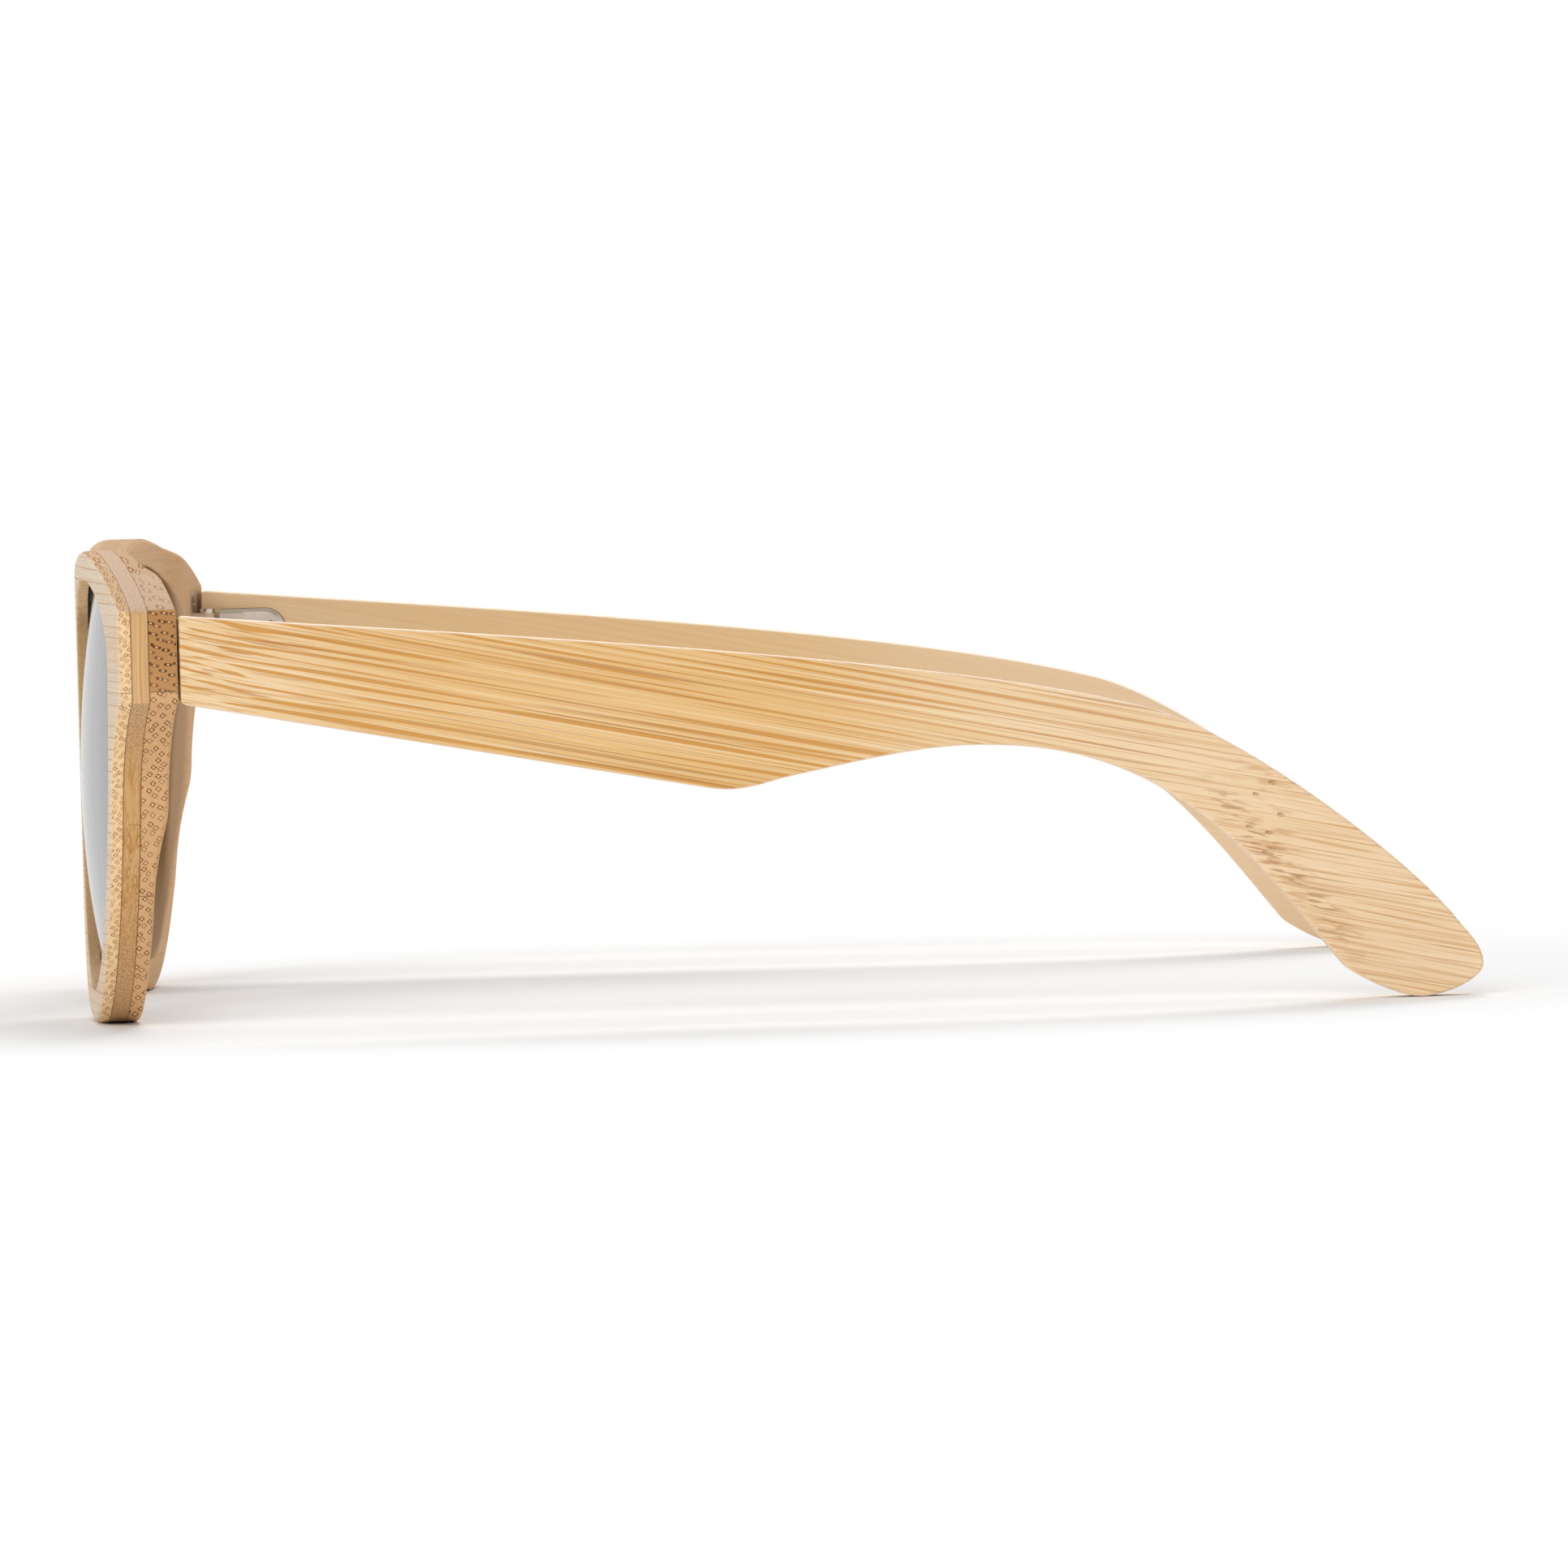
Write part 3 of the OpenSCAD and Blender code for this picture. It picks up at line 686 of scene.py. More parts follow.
@dataclass(frozen=True)
class Bundles:
    """Vessel bundles of bamboo cut across: a pale heart between two wide and two narrow vessels."""

    pitch: float
    reach: float
    vessel: float
    waist: float
    narrow: float
    scatter: float = 0.5
    lean: float = 8.0
    turn: float = 31.0

    def draw(self, paint: Paint, u: Signal, v: Signal) -> tuple[Signal, Signal]:
        """Draws the bundles in the plane across the grain.

        Args:
            paint: the node tree.
            u: first coordinate across the grain, in millimetres.
            v: second coordinate across the grain, in millimetres.

        Returns:
            Masks of the dark vessels and of the pale hearts.
        """
        turn = math.radians(self.turn)
        c, s = math.cos(turn), math.sin(turn)
        place = paint.vector(u * c - v * s, u * s + v * c, 0.0)
        cell = paint.cells(place, self.pitch, self.scatter)
        ends = {0: place, 1: cell.out("Position")}
        dx, dy, _ = paint.parts(paint.node("ShaderNodeVectorMath", {"operation": "SUBTRACT"}, ends))
        turn = math.radians(self.turn + self.lean)
        c, s = math.cos(turn), math.sin(turn)
        along, across = abs(dx * c + dy * s), abs(dy * c - dx * s)
        wide = ((along - self.reach) ** 2.0 + across**2.0) ** 0.5
        slim = ((across - self.waist) ** 2.0 + (along * 0.7) ** 2.0) ** 0.5
        sheath = ((along * (self.waist / self.reach)) ** 2.0 + across**2.0) ** 0.5
        chance = (paint.parts(cell.out("Color"))[0] * 0.6 + 0.55).least(1.0)
        vessels = wide.step(self.vessel * 1.3, self.vessel * 0.75)
        vessels = vessels.most(slim.step(self.narrow * 1.4, self.narrow * 0.7) * 0.85)
        vessels = vessels.most(sheath.near(self.waist, 0.02, 0.05) * 0.6)
        hearts = sheath.step(self.waist, self.waist * 0.5)
        return vessels * chance, hearts * (1.0 - vessels)


def pores(paint: Paint, u: Signal, v: Signal, pitch: float) -> Signal:
    """Fine dots of end grain, one to a cell of about this pitch."""
    return paint.cells(paint.vector(u, v, 0.0), pitch, 0.8).step(0.45, 0.2)


@dataclass(frozen=True)
class FaceBamboo(Finish):
    """Bamboo ply with its grain across the face: streaks on the faces, bundles on the cut edges."""

    face: Colour
    edge: Colour
    vessel: Colour
    heart: Colour
    bundles: Bundles
    joints: tuple[float, ...]
    strength: float = 1.0
    burnt: bool = False
    strip_z: float = 36.67
    strip_bundles: Bundles = Bundles(0.96, 0.29, 0.165, 0.14, 0.05, 0.5, -14.0)

    def draw(self, paint: Paint) -> None:
        """Draws the finish.

        Args:
            paint: the material's node tree.
        """
        x, y, z = paint.place()
        nx, ny, nz = paint.facing()
        depth = ply_depth(x, y)
        outward = away_from_nose(x, nx)
        above = nz.step(0.35, 0.85)
        ends = abs(ny).step(0.86, 0.6)
        # Cut edges towards the nose are sanded smoother than those towards the temples
        nose = outward.step(0.04, -0.12)
        # The right half is plainer, and shows its pores only on the outer side
        right = x.step(10.0, -14.0)
        show = (1.0 - nose * 0.85) * (abs(x).step(22.0, 46.0) * 0.75 + 0.25)
        show = show * (1.0 - right * outward.step(0.6, 0.3) * 0.85)
        # The bundles wander a little along the ply, so that streaks on its faces come and go
        drift = paint.noise((x * 0.05, z * 0.12, depth * 0.2), detail=1.0) - 0.5
        lift = paint.noise((x * 0.07 + 40.0, z * 0.1, depth * 0.2), detail=1.0) - 0.5
        u, v = depth + drift * 1.2, z + lift * 1.2
        vessels, hearts = self.bundles.draw(paint, u, v)
        # Long streaks on the faces
        spread = paint.noise((x * 0.004, depth * 0.1, z * 0.35), detail=0.0)
        hairs = paint.noise((x * 0.012 + 31.0, depth * 0.4, z * 3.5), detail=1.0)
        broad = paint.noise((x * 0.02, depth * 0.5, z * 0.3))
        lines = (z * 0.85 + spread).math("FRACT").near(0.5, 0.02, 0.05)
        lines = lines * (1.0 - right * ny.step(0.1, 0.5) * 0.75)
        face = paint.coats(
            self.face,
            (lines * (hairs.step(0.3, 0.6) * 0.5 + 0.2), tint(206, 148, 98)),
            (hairs.step(0.56, 0.7) * 0.25, tint(206, 156, 112)),
            (broad.step(0.4, 0.7) * 0.25, tint(226, 188, 146)),
        )
        edge = paint.coats(
            self.edge,
            (paint.noise((x, y, z), 1.8, 3.0).step(0.35, 0.7) * 0.3, tint(196, 146, 94)),
            # Upward faces get a darker tint: painted shade on the tops
            (above * 0.75, tint(200, 168, 136)),
        )
        if self.burnt:
            # A darker strip with larger bundles runs through the end pieces
            strip = z.step(self.strip_z - 0.05, self.strip_z + 0.05) * abs(x).step(57.0, 60.0)
            saw = strip * abs(x).step(LAYOUT.half_w - 0.5, LAYOUT.half_w - 0.25)
            wide, pale = self.strip_bundles.draw(paint, u, v)
            scorch = z.step(35.0, 43.0) * 0.5 + 0.5
            wall = nose * (1.0 - above)
            back = depth - z.step(24.0, 38.0)
            edge = paint.coats(
                edge,
                (saw * 0.9, paint.mix(scorch, tint(206, 156, 104), tint(184, 132, 80))),
                (strip * (1.0 - saw) * 0.7, tint(212, 182, 154)),
                (pale * strip * 0.6 * show, tint(236, 208, 172)),
                (wide * strip * (saw * scorch * 0.6 + 0.38) * show, tint(86, 40, 24)),
                # Painted shade along the back edge of the sawn face, in the joint with the temple
                (saw * depth.step(LAYOUT.end_d - 0.18, LAYOUT.end_d - 0.04) * 0.7, JOINT_SHADE),
                # Walls that face the nose get painted shade towards the lens and painted light towards the
                # back
                (wall * back.step(4.7, 3.7) * 0.8, tint(128, 86, 48)),
                (wall * back.step(3.8, 4.8) * 0.6, tint(236, 200, 164)),
            )
            vessels, hearts = vessels * (1.0 - strip), hearts * (1.0 - strip)
        edge = paint.coats(
            edge,
            (hearts * 0.6 * show, self.heart),
            (vessels * show * self.strength, self.vessel),
            # The nose side of each opening is darker: painted shade on the wall round the lens
            (abs(x).step(34.0, 26.0) * outward.step(0.3, 0.7) * 0.6, tint(150, 112, 66)),
        )
        colour = paint.mix(ends, paint.mix(vessels * 0.12, face, self.vessel), edge)
        # Dark glue between the plies, and joints between the strips of a ply
        core, rear = LAYOUT.depths[1:3]
        dark = depth.near(core, 0.03, 0.05).most(depth.near(rear, 0.03, 0.05)) * show * (1.0 - above * 0.6)
        for joint in self.joints:
            seam = (z + drift * 0.3).near(joint, 0.03, 0.05) * abs(x).step(40.0, 50.0)
            dark = dark.most(seam * ends * show)
        height = vessels * ends * show * -0.8 + hairs * 0.2 - dark * 0.8
        rough = lines * 0.16 + 0.5 + vessels * ends * 0.2 + above * 0.3
        paint.wood(paint.mix(dark * 0.62, colour, GLUE), rough, paint.bump(height, 0.03, 0.5), MATT)


@dataclass(frozen=True)
class CoreBamboo(Finish):
    """The core ply, with its grain upright: stripes on the sides, fine dots above and below."""

    name: str = "bamboo core"
    bundles: Bundles = Bundles(0.66, 0.2, 0.09, 0.15, 0.07, 0.6)
    fine: float = 0.32
    crack_z: float = 22.2

    def draw(self, paint: Paint) -> None:
        """Draws the finish.

        Args:
            paint: the material's node tree.
        """
        x, y, z = paint.place()
        nx, _, nz = paint.facing()
        depth = ply_depth(x, y)
        outward = away_from_nose(x, nx)
        quiet = x.step(14.0, -12.0) * outward.step(0.6, 0.3)
        show = (1.0 - outward.step(0.04, -0.12) * 0.85) * (1.0 - quiet * 0.85)
        sway = paint.noise((x * 0.2, depth * 0.3, z * 0.09), detail=1.0) - 0.5
        u, v = x + sway * 0.7, depth + sway * 0.9
        vessels, hearts = self.bundles.draw(paint, u, v)
        dots = pores(paint, u, v, self.fine)
        stripes = paint.noise((u * 1.3, v * 2.4, z * 0.02), rough=0.6)
        broad = paint.noise((u * 0.5, v * 1.2, z * 0.012 + 7.0), detail=1.0)
        flecks = paint.noise((u * 1.6, v * 1.6, z * 2.3), detail=1.0)
        ends, high = abs(nz).step(0.35, 0.8), z.step(30.0, 46.0)
        # The sawn ends are plain; on the bent sides bundles, dots and flecks come up in bands
        flat = abs(x).step(LAYOUT.half_w - 0.3, LAYOUT.half_w - 0.05)
        bent, stripe = 1.0 - flat, stripes.step(0.35, 0.68)
        coarse = z.near(15.0, 6.0, 5.0)
        rows = z.near(34.2, 0.9, 0.8) * flecks.step(0.5, 0.58)
        plain = paint.mix(stripe, tint(220, 180, 130), tint(202, 153, 100))
        side = paint.coats(
            paint.mix(stripe, tint(216, 170, 116), tint(194, 144, 86)),
            (flat, paint.mix(broad.step(0.5, 0.66) * 0.6, plain, tint(232, 197, 150))),
            (hearts * coarse * 0.55 * bent, tint(228, 190, 138)),
            (vessels * coarse * 0.5 * bent, tint(160, 108, 56)),
            (dots * z.step(11.0, 6.0) * 0.7 * bent, tint(140, 92, 50)),
            (rows * 0.9 * bent, tint(146, 98, 54)),
        )
        top = paint.coats(
            tint(206, 164, 116),
            (high, tint(217, 188, 163)),
            (quiet * high, tint(202, 168, 134)),
            (dots * (high * -0.2 + 0.55) * show, tint(158, 118, 88)),
        )
        core, rear = LAYOUT.depths[1:3]
        glue = depth.near(core, 0.03, 0.07).most(depth.near(rear, 0.04, 0.07)) * show * (1.0 - ends * 0.6)
        crack = (z + sway * 0.8).near(self.crack_z, 0.02, 0.06) * depth.step(1.5, 2.4)
        height = dots * -0.3 - vessels * 0.3 + stripes * 0.3 - glue
        colour = paint.mix(glue.most(crack * 0.7) * 0.6, paint.mix(ends, side, top), GLUE)
        paint.wood(colour, stripes * 0.2 + 0.46 + ends * 0.3, paint.bump(height, 0.035, 0.6), MATT)


@dataclass(frozen=True)
class TempleBamboo(Finish):
    """A temple's board: straight streaks that slope down towards the tip, with one node scar."""

    name: str = "bamboo temple"
    slope: float = 11.5
    scar: float = 116.2
    knots: tuple[tuple[float, float, float], ...] = (
        (116.6, 23.4, 0.27),
        (114.8, 22.2, 0.25),
        (117.6, 20.0, 0.28),
        (114.1, 18.8, 0.24),
        (116.2, 18.1, 0.25),
        (115.6, 15.9, 0.2),
    )
    torn_from: tuple[float, float] = (112.5, 18.8)
    torn_out: tuple[float, float] = (0.74, 0.672)

    def eyes(self, s: Signal, z: Signal, waver: Signal) -> tuple[Signal, Signal]:
        """Draws the knots.

        Args:
            s: length along the board from its butt, in millimetres.
            z: height above the ground.
            waver: how the fibres waver there.

        Returns:
            Masks of the knots and of the dark rim at one side of each.
        """
        eyes = rims = None
        for ks, kz, size in self.knots:
            du, dv = (s - ks) * 0.55 + waver * 0.4, z - kz + (s - ks) * 0.2 + waver * 0.5
            eye = ((du**2.0 + dv**2.0) ** 0.5).step(size, size * 0.6)
            lid = (((du - size * 0.35) ** 2.0 + (dv + size * 0.4) ** 2.0) ** 0.5).step(size, size * 0.7)
            rim = eye * (1.0 - lid)
            eyes, rims = (eye, rim) if eyes is None else (eyes.most(eye), rims.most(rim))
        return eyes, rims

    def draw(self, paint: Paint) -> None:
        """Draws the finish.

        Args:
            paint: the material's node tree.
        """
        x, y, z = paint.place()
        _, ny, nz = paint.facing()
        c, d = math.cos(LAYOUT.toe_in), math.sin(LAYOUT.toe_in)
        dx, dy = abs(x) - LAYOUT.pivot[0], y - LAYOUT.pivot[1]
        left = x.step(-1.0, 1.0)
        s = dy * c - dx * d - LAYOUT.butt_y
        t = dx * c + dy * d - LAYOUT.inner
        outer = t.step(1.2, 3.0)
        scarred = left * outer
        # Round the node the streaks part and waver
        node = (s + (z - 20.0) * 0.2 - self.scar).near(0.0, 0.8, 3.2) * scarred
        waver = paint.noise((s * 0.7, z * 1.2, t * 0.3), detail=1.0) - 0.5
        tilt = math.radians(self.slope)
        along = s * math.cos(tilt) - z * math.sin(tilt)
        across = s * math.sin(tilt) + z * math.cos(tilt) + waver * node * 0.2
        eyes, rims = (mask * scarred for mask in self.eyes(s, z, waver))
        # Towards both ends the fibres run out of the board in shorter dashes
        short = (s * -0.15).math("EXPONENT")
        a = along - short * 70.0 + ((s - 80.0).most(0.0) ** 2.0) * 0.03 + left * 53.0 + node * waver * 5.0
        tip = s.step(62.0, 112.0)
        rings = t + short * 0.7
        tone = paint.noise((along * 0.012, across * 0.45, t * 0.3), detail=1.0)
        # Streaks lie about evenly, swell and taper out
        spread = paint.noise((a * 0.012, across * 0.6, rings * 0.9), detail=0.0)
        swell = paint.noise((a * 0.028, across * 1.7, rings * 1.7), detail=0.0)
        beside = abs((across * 1.25 + spread * 1.6).math("FRACT") - 0.5)
        width = swell.step(0.3, 0.75) * (0.34 - short * 0.14 - tip * 0.2) * (1.0 - node * 0.6)
        band = (width - beside).step(-0.03, 0.07)
        line = paint.noise((a * 0.02 + 9.0, across * 4.4, rings * 3.0), detail=0.0)
        pale = paint.noise((a * 0.02 + 71.0, across * 4.6, rings * 3.0), detail=0.0)
        hair = paint.noise((a * 0.016 + 23.0, across * 5.5, rings * 3.0), detail=0.0)
        plain = outer * 0.88 + 0.12
        # Along the lower edge the saw has torn the node's fibres
        edge = (s - self.torn_from[0]) * self.torn_out[0] + (z - self.torn_from[1]) * self.torn_out[1]
        torn = edge.near(0.9, 0.5, 1.7) * s.near(117.5, 4.0, 6.5) * scarred
        stain = paint.noise((along * 0.24 + 31.0, across * 1.3, t * 0.3)).step(0.5, 0.66)
        fleck = paint.noise((along * 0.34 + 5.0, across * 2.2, t * 0.3)).step(0.52, 0.62)
        wear_and_highlight = abs(nz).step(0.25, 0.8) * abs(ny).step(0.9, 0.5)
        dots = pores(paint, rings, across, 0.6) * abs(ny).step(0.75, 0.95)
        colour = paint.coats(
            paint.mix(tone.step(0.3, 0.7), tint(247, 215, 169), tint(240, 203, 150)),
            (s.near(46.0, 18.0, 24.0) * 0.6, tint(234, 186, 112)),
            (tip * 0.5, tint(252, 224, 190)),
            ((1.0 - outer) * 0.55, tint(220, 188, 150)),
            (pale.step(0.56, 0.68) * 0.5 * plain, tint(252, 228, 188)),
            (band * (0.9 - tip * 0.3) * plain, paint.mix(tip, tint(213, 153, 74), tint(220, 164, 104))),
            (line.step(0.57, 0.65) * (0.45 - tip * 0.1) * plain, tint(216, 160, 94)),
            (hair.step(0.66, 0.72) * (0.55 - tip * 0.1) * plain, tint(180, 120, 74)),
            (node * tone.step(0.4, 0.6) * 0.35, tint(246, 218, 174)),
            (stain * node * 0.5, tint(208, 150, 92)),
            (fleck * torn * 0.6, tint(176, 120, 66)),
            (eyes * 0.55, tint(198, 144, 106)),
            (rims * 0.55, tint(146, 94, 62)),
            # Top and bottom edges are paler, partly sanded and partly a painted highlight; end grain shows
            # its pores; and a thin dark line along the butt end is painted shade in the joint
            (wear_and_highlight * 0.55, tint(248, 226, 204)),
            (dots * 0.5, tint(170, 116, 70)),
            (s.step(0.17, 0.05) * (waver + 0.9).least(1.0) * 0.75, JOINT_SHADE),
        )
        height = line * -0.4 - hair * 0.3 + pale * 0.3 - rims * 0.15
        paint.wood(colour, line * 0.2 + 0.4 + band * 0.05, paint.bump(height, 0.02, 0.5), OILED)


@dataclass(frozen=True)
class LensTint(Finish):
    """Grey sun lens with a hard, clean face."""

    name: str = "lens tint"
    glass: Colour = (0.25, 0.257, 0.27)
    see: float = 0.84
    bends: float = 1.72
    coat: float = 0.3

    def draw(self, paint: Paint) -> None:
        """Draws the finish.

        Args:
            paint: the material's node tree.
        """
        x, y, z = paint.place()
        film = paint.noise((x, y, z), 0.12)
        upper = tuple(c * 0.8 for c in self.glass)
        paint.surface(
            {
                "Base Color": paint.mix(z.step(4.0, 48.0), self.glass, upper),
                "Roughness": film * 0.05 + 0.03,
                "Alpha": self.see,
                "IOR": self.bends,
                "Coat Weight": self.coat,
            }
        )


@dataclass(frozen=True)
class Steel(Finish):
    """Plated hinge metal: brushed on the faces that show, duller on its narrow sides, which get a painted
    colour of shade and reflection.
    """

    bright: Colour
    dull: Colour
    sides: Colour
    rough: float = 0.36
    metal: float = 1.0

    def draw(self, paint: Paint) -> None:
        """Draws the finish.

        Args:
            paint: the material's node tree.
        """
        x, y, z = paint.place()
        _, _, nz = paint.facing()
        brushed = paint.noise((x * 3.0, y * 0.6, z * 9.0), detail=3.0)
        cloud = paint.noise((x, y, z), 0.7, 3.0)
        wear_and_highlight = paint.node("ShaderNodeNewGeometry", output="Pointiness").step(0.5, 0.58)
        narrow = abs(nz).step(0.25, 0.6)
        colour = paint.coats(
            self.bright,
            (cloud.step(0.3, 0.7) * 0.6, self.dull),
            # The narrow sides facing up and down take the sides colour: painted shade and reflection
            (narrow * 0.9, self.sides),
            # Convex edges are paler: worn plating with a painted highlight
            (wear_and_highlight * 0.3, tint(222, 214, 204)),
        )
        paint.surface(
            {
                "Base Color": colour,
                "Metallic": (1.0 - narrow * 0.7) * self.metal,
                "Roughness": (brushed * 0.2 + self.rough - 0.1).most(narrow * 0.8),
                "Normal": paint.bump(brushed, 0.004, 0.5),
            }
        )


@dataclass
class Front:
    """The laminated front: three bent plies with a window for each lens."""

    plate_x: float = -0.8
    plate_w: float = 3.9
    plate_h: float = 9.5
    plate_sink: float = 0.8
    nose_x: float = 9.3
    nose_bevel: float = 20.0
    arch_z: float = 36.0
    groove: float = 1.06
    # X where the end pieces and the nose rests start to swell, bend twice and are full or gone
    end_run: tuple[float, ...] = (50.1, 55.1, 56.5, 60.5)
    nose_run: tuple[float, ...] = (14.1, 17.1, 19.1, 22.1)
    # Z where the end pieces run out downwards, and where the nose rests rise and run out again
    end_fall: tuple[float, ...] = (33.0, 27.0, 22.0, 12.0)
    rest_rise: tuple[float, ...] = (6.0, 10.0, 10.0, 16.0)
    rest_fall: tuple[float, ...] = (27.0, 33.0, 33.0, 38.0)
    # X and depth where the end pieces' run-out ends, and how steeply it and the rests go on
    fall_x: float = 58.1
    fall_d: float = 4.5
    fall_slope: float = 0.15
    rest_slope: float = 0.1
    # How softly the carved forms meet: end piece and run-out, both and the thin rim, the rests
    fall_blend: float = 0.3
    end_blend: float = 0.4
    rest_blend: float = 0.5
    # Radii of edges, outside and in a window
    face_r: tuple[float, float] = (0.85, 0.4)
    back_r: tuple[float, float] = (0.5, 0.4)
    sawn_r: float = 0.25
    glued_r: float = 0.035
    # Distances between the points of outlines, of the face and back that show, and of glued faces
    step: float = 0.7
    corner_step: float = 0.25
    corner_free: float = 1.25
    face_mesh: float = 1.5
    back_mesh: float = 1.3
    glued_mesh: float = 3.0
    # Rows of points round the edges, and the flat margins beside them
    face_turns: int = 7
    back_turns: int = 6
    glued_turns: int = 2
    face_margin: float = 0.08
    back_margin: float = 0.15
    arc_points: int = 21

    def outline(self) -> Loop:
        """The front's outer outline.

        Returns:
            The outline, in X and Z.
        """
        end = LAYOUT.half_w
        corner = (end, 35.5)
        below = chain([corner, (67.6, 34.5), (62.5, 30.56), (61.1, 24.96)], self.step)
        below = below[np.linalg.norm(below - corner, axis=1) > self.corner_free]
        brow = [(0, 47.8), (10.61, 47.8), (18.3, 51.3), (36.6, 51.3)]
        brow += [(50.6, 51.3), (62, 48.7), (68.6, 46)]
        rim = [(61.1, 24.96), (58.5, 13.46), (50.6, 0), (35.1, 0)]
        rim += [(24.1, 0), (16.2, 5), (12.6, 14)]
        rim += [(11, 18), (10, 22.5), (9.3, 27)]
        rim += [(8.3, 33.3), (4.65, 36), (0, self.arch_z)]
        half = np.vstack(
            [
                chain(brow, self.step),
                chain([(68.6, 46), (69.5, 45.63), (end, 45.26), (end, 44.6)], self.corner_step),
                [(end, z) for z in np.linspace(44.6, 36.85, 8)],
                [corner],
                below,
                chain(rim, self.step),
            ]
        )
        return Loop(np.vstack([half, [(0.0, self.arch_z)], half[:0:-1] * (-1, 1)]))

    def opening(self) -> Loop:
        """The left lens opening.

        Returns:
            Its outline, in X and Z.
        """
        rim = [(36.6, 48.1), (49.6, 48.1), (61.91, 45.3), (61.1, 38.5)]
        rim += [(59.6, 25.9), (54.6, 3.6), (35.1, 3.6)]
        rim += [(21.1, 3.6), (12.1, 22.5), (12.1, 38.5)]
        rim += [(12.1, 45.5), (22.6, 48.1), (36.6, 48.1)]
        return Loop(chain(rim, self.step))

    def rear(self, flat: Array) -> Array:
        """Y of the rear ply's carved back.

        Args:
            flat: points in X and Z.

        Returns:
            One Y for each point.
        """
        x, z = np.abs(flat[:, 0]), flat[:, 1]
        wrap, face = LAYOUT.wrap, LAYOUT.end_face
        thin_d, nose_d = LAYOUT.depths[3], LAYOUT.nose_d
        thin, sunk, slope = wrap(x, thin_d), 0.05, 0.12
        # End pieces: flat towards the temples, run out along the brow and down the rim
        a, b, c, d = self.end_run
        swell = run([(a, wrap(a, thin_d)), (b, wrap(b, thin_d)), (c, face(c)), (d, face(d))])
        end = np.where(x < d, np.interp(x, *swell.T), face(x))
        end = np.where(x < a, thin - slope * (a - x), end)
        deep, low = LAYOUT.joint_y + 0.5, float(wrap(self.fall_x)) + self.fall_d
        side = run(list(zip((deep, deep, low + 0.6, low), self.end_fall)))[::-1]
        below = np.maximum(self.end_fall[3] - z, 0)
        limit = np.interp(z, side[:, 1], side[:, 0]) - self.fall_slope * below
        # Nose rests
        a, b, c, d = self.nose_run
        rest, gone = [(a, wrap(a, nose_d)), (b, wrap(b, nose_d))], wrap(d, thin_d - sunk)
        swell = run([*rest, (c, wrap(c, thin_d)), (d, gone)])
        nose = np.where(x < a, wrap(x, nose_d), np.interp(x, *swell.T))
        nose = np.where(x > d, thin - sunk - slope * (x - d), nose)
        full, low = nose_d + float(wrap(a)) + 0.5, thin_d - sunk
        rise = (low, thin_d, full - 0.4, full)
        foot, head = run(list(zip(rise, self.rest_rise))), run(list(zip(rise[::-1], self.rest_fall)))
        tall = np.vstack([foot[:-1], head])
        beyond = np.maximum(self.rest_rise[0] - z, 0) + np.maximum(z - self.rest_fall[3], 0)
        rests = np.interp(z, tall[:, 1], tall[:, 0]) - self.rest_slope * beyond
        carved = over(thin, under(end, limit, self.fall_blend), self.end_blend)
        return over(carved, under(nose, rests, self.rest_blend), self.rest_blend)

    def back_y(self, ply: Ply, flat: Array) -> Array:
        """Y of a ply's back at flat points."""
        return self.rear(flat) if ply is Ply.REAR else LAYOUT.wrap(flat[:, 0], ply.depths[1])

    def stadium(self) -> Array:
        """Outline of a hinge plate's recess, in the end face's own X and Z.

        Returns:
            The outline's points, counted from the pivot.
        """
        arc = np.radians(np.linspace(0, 180, self.arc_points))
        top = np.column_stack((np.cos(arc), np.sin(arc))) * self.plate_w / 2
        top += (0, (self.plate_h - self.plate_w) / 2)
        return np.vstack([top, -top]) + (self.plate_x, 0)

    def on_end_face(self, flat: Array, sink: float, side: Side) -> Array:
        """Points of an end face, sunk below it, in source coordinates."""
        along, z = -LAYOUT.pivot_h - sink, LAYOUT.hinge_z + flat[:, 1]
        return LAYOUT.about_pivot(along, flat[:, 0], z, side, LAYOUT.end_tilt)

    def flare(self, loop: Loop, y: Array) -> Array:
        """How far the nose rests' bevel moves each outline point in, at a depth.

        Args:
            loop: the outline.
            y: the Y of each of its points.

        Returns:
            One distance for each point.
        """
        x, z = np.abs(loop.points[:, 0]), loop.points[:, 1]
        inward = np.maximum(-loop.out[:, 0] * np.sign(loop.points[:, 0]), 0) * (z < self.arch_z + 0.1)
        bevel = math.radians(self.nose_bevel)
        widen = (x - self.nose_x) * (1 / math.cos(bevel) - 1) + (y - LAYOUT.depths[2]) * math.tan(bevel)
        return np.clip(widen, 0, None) * inward

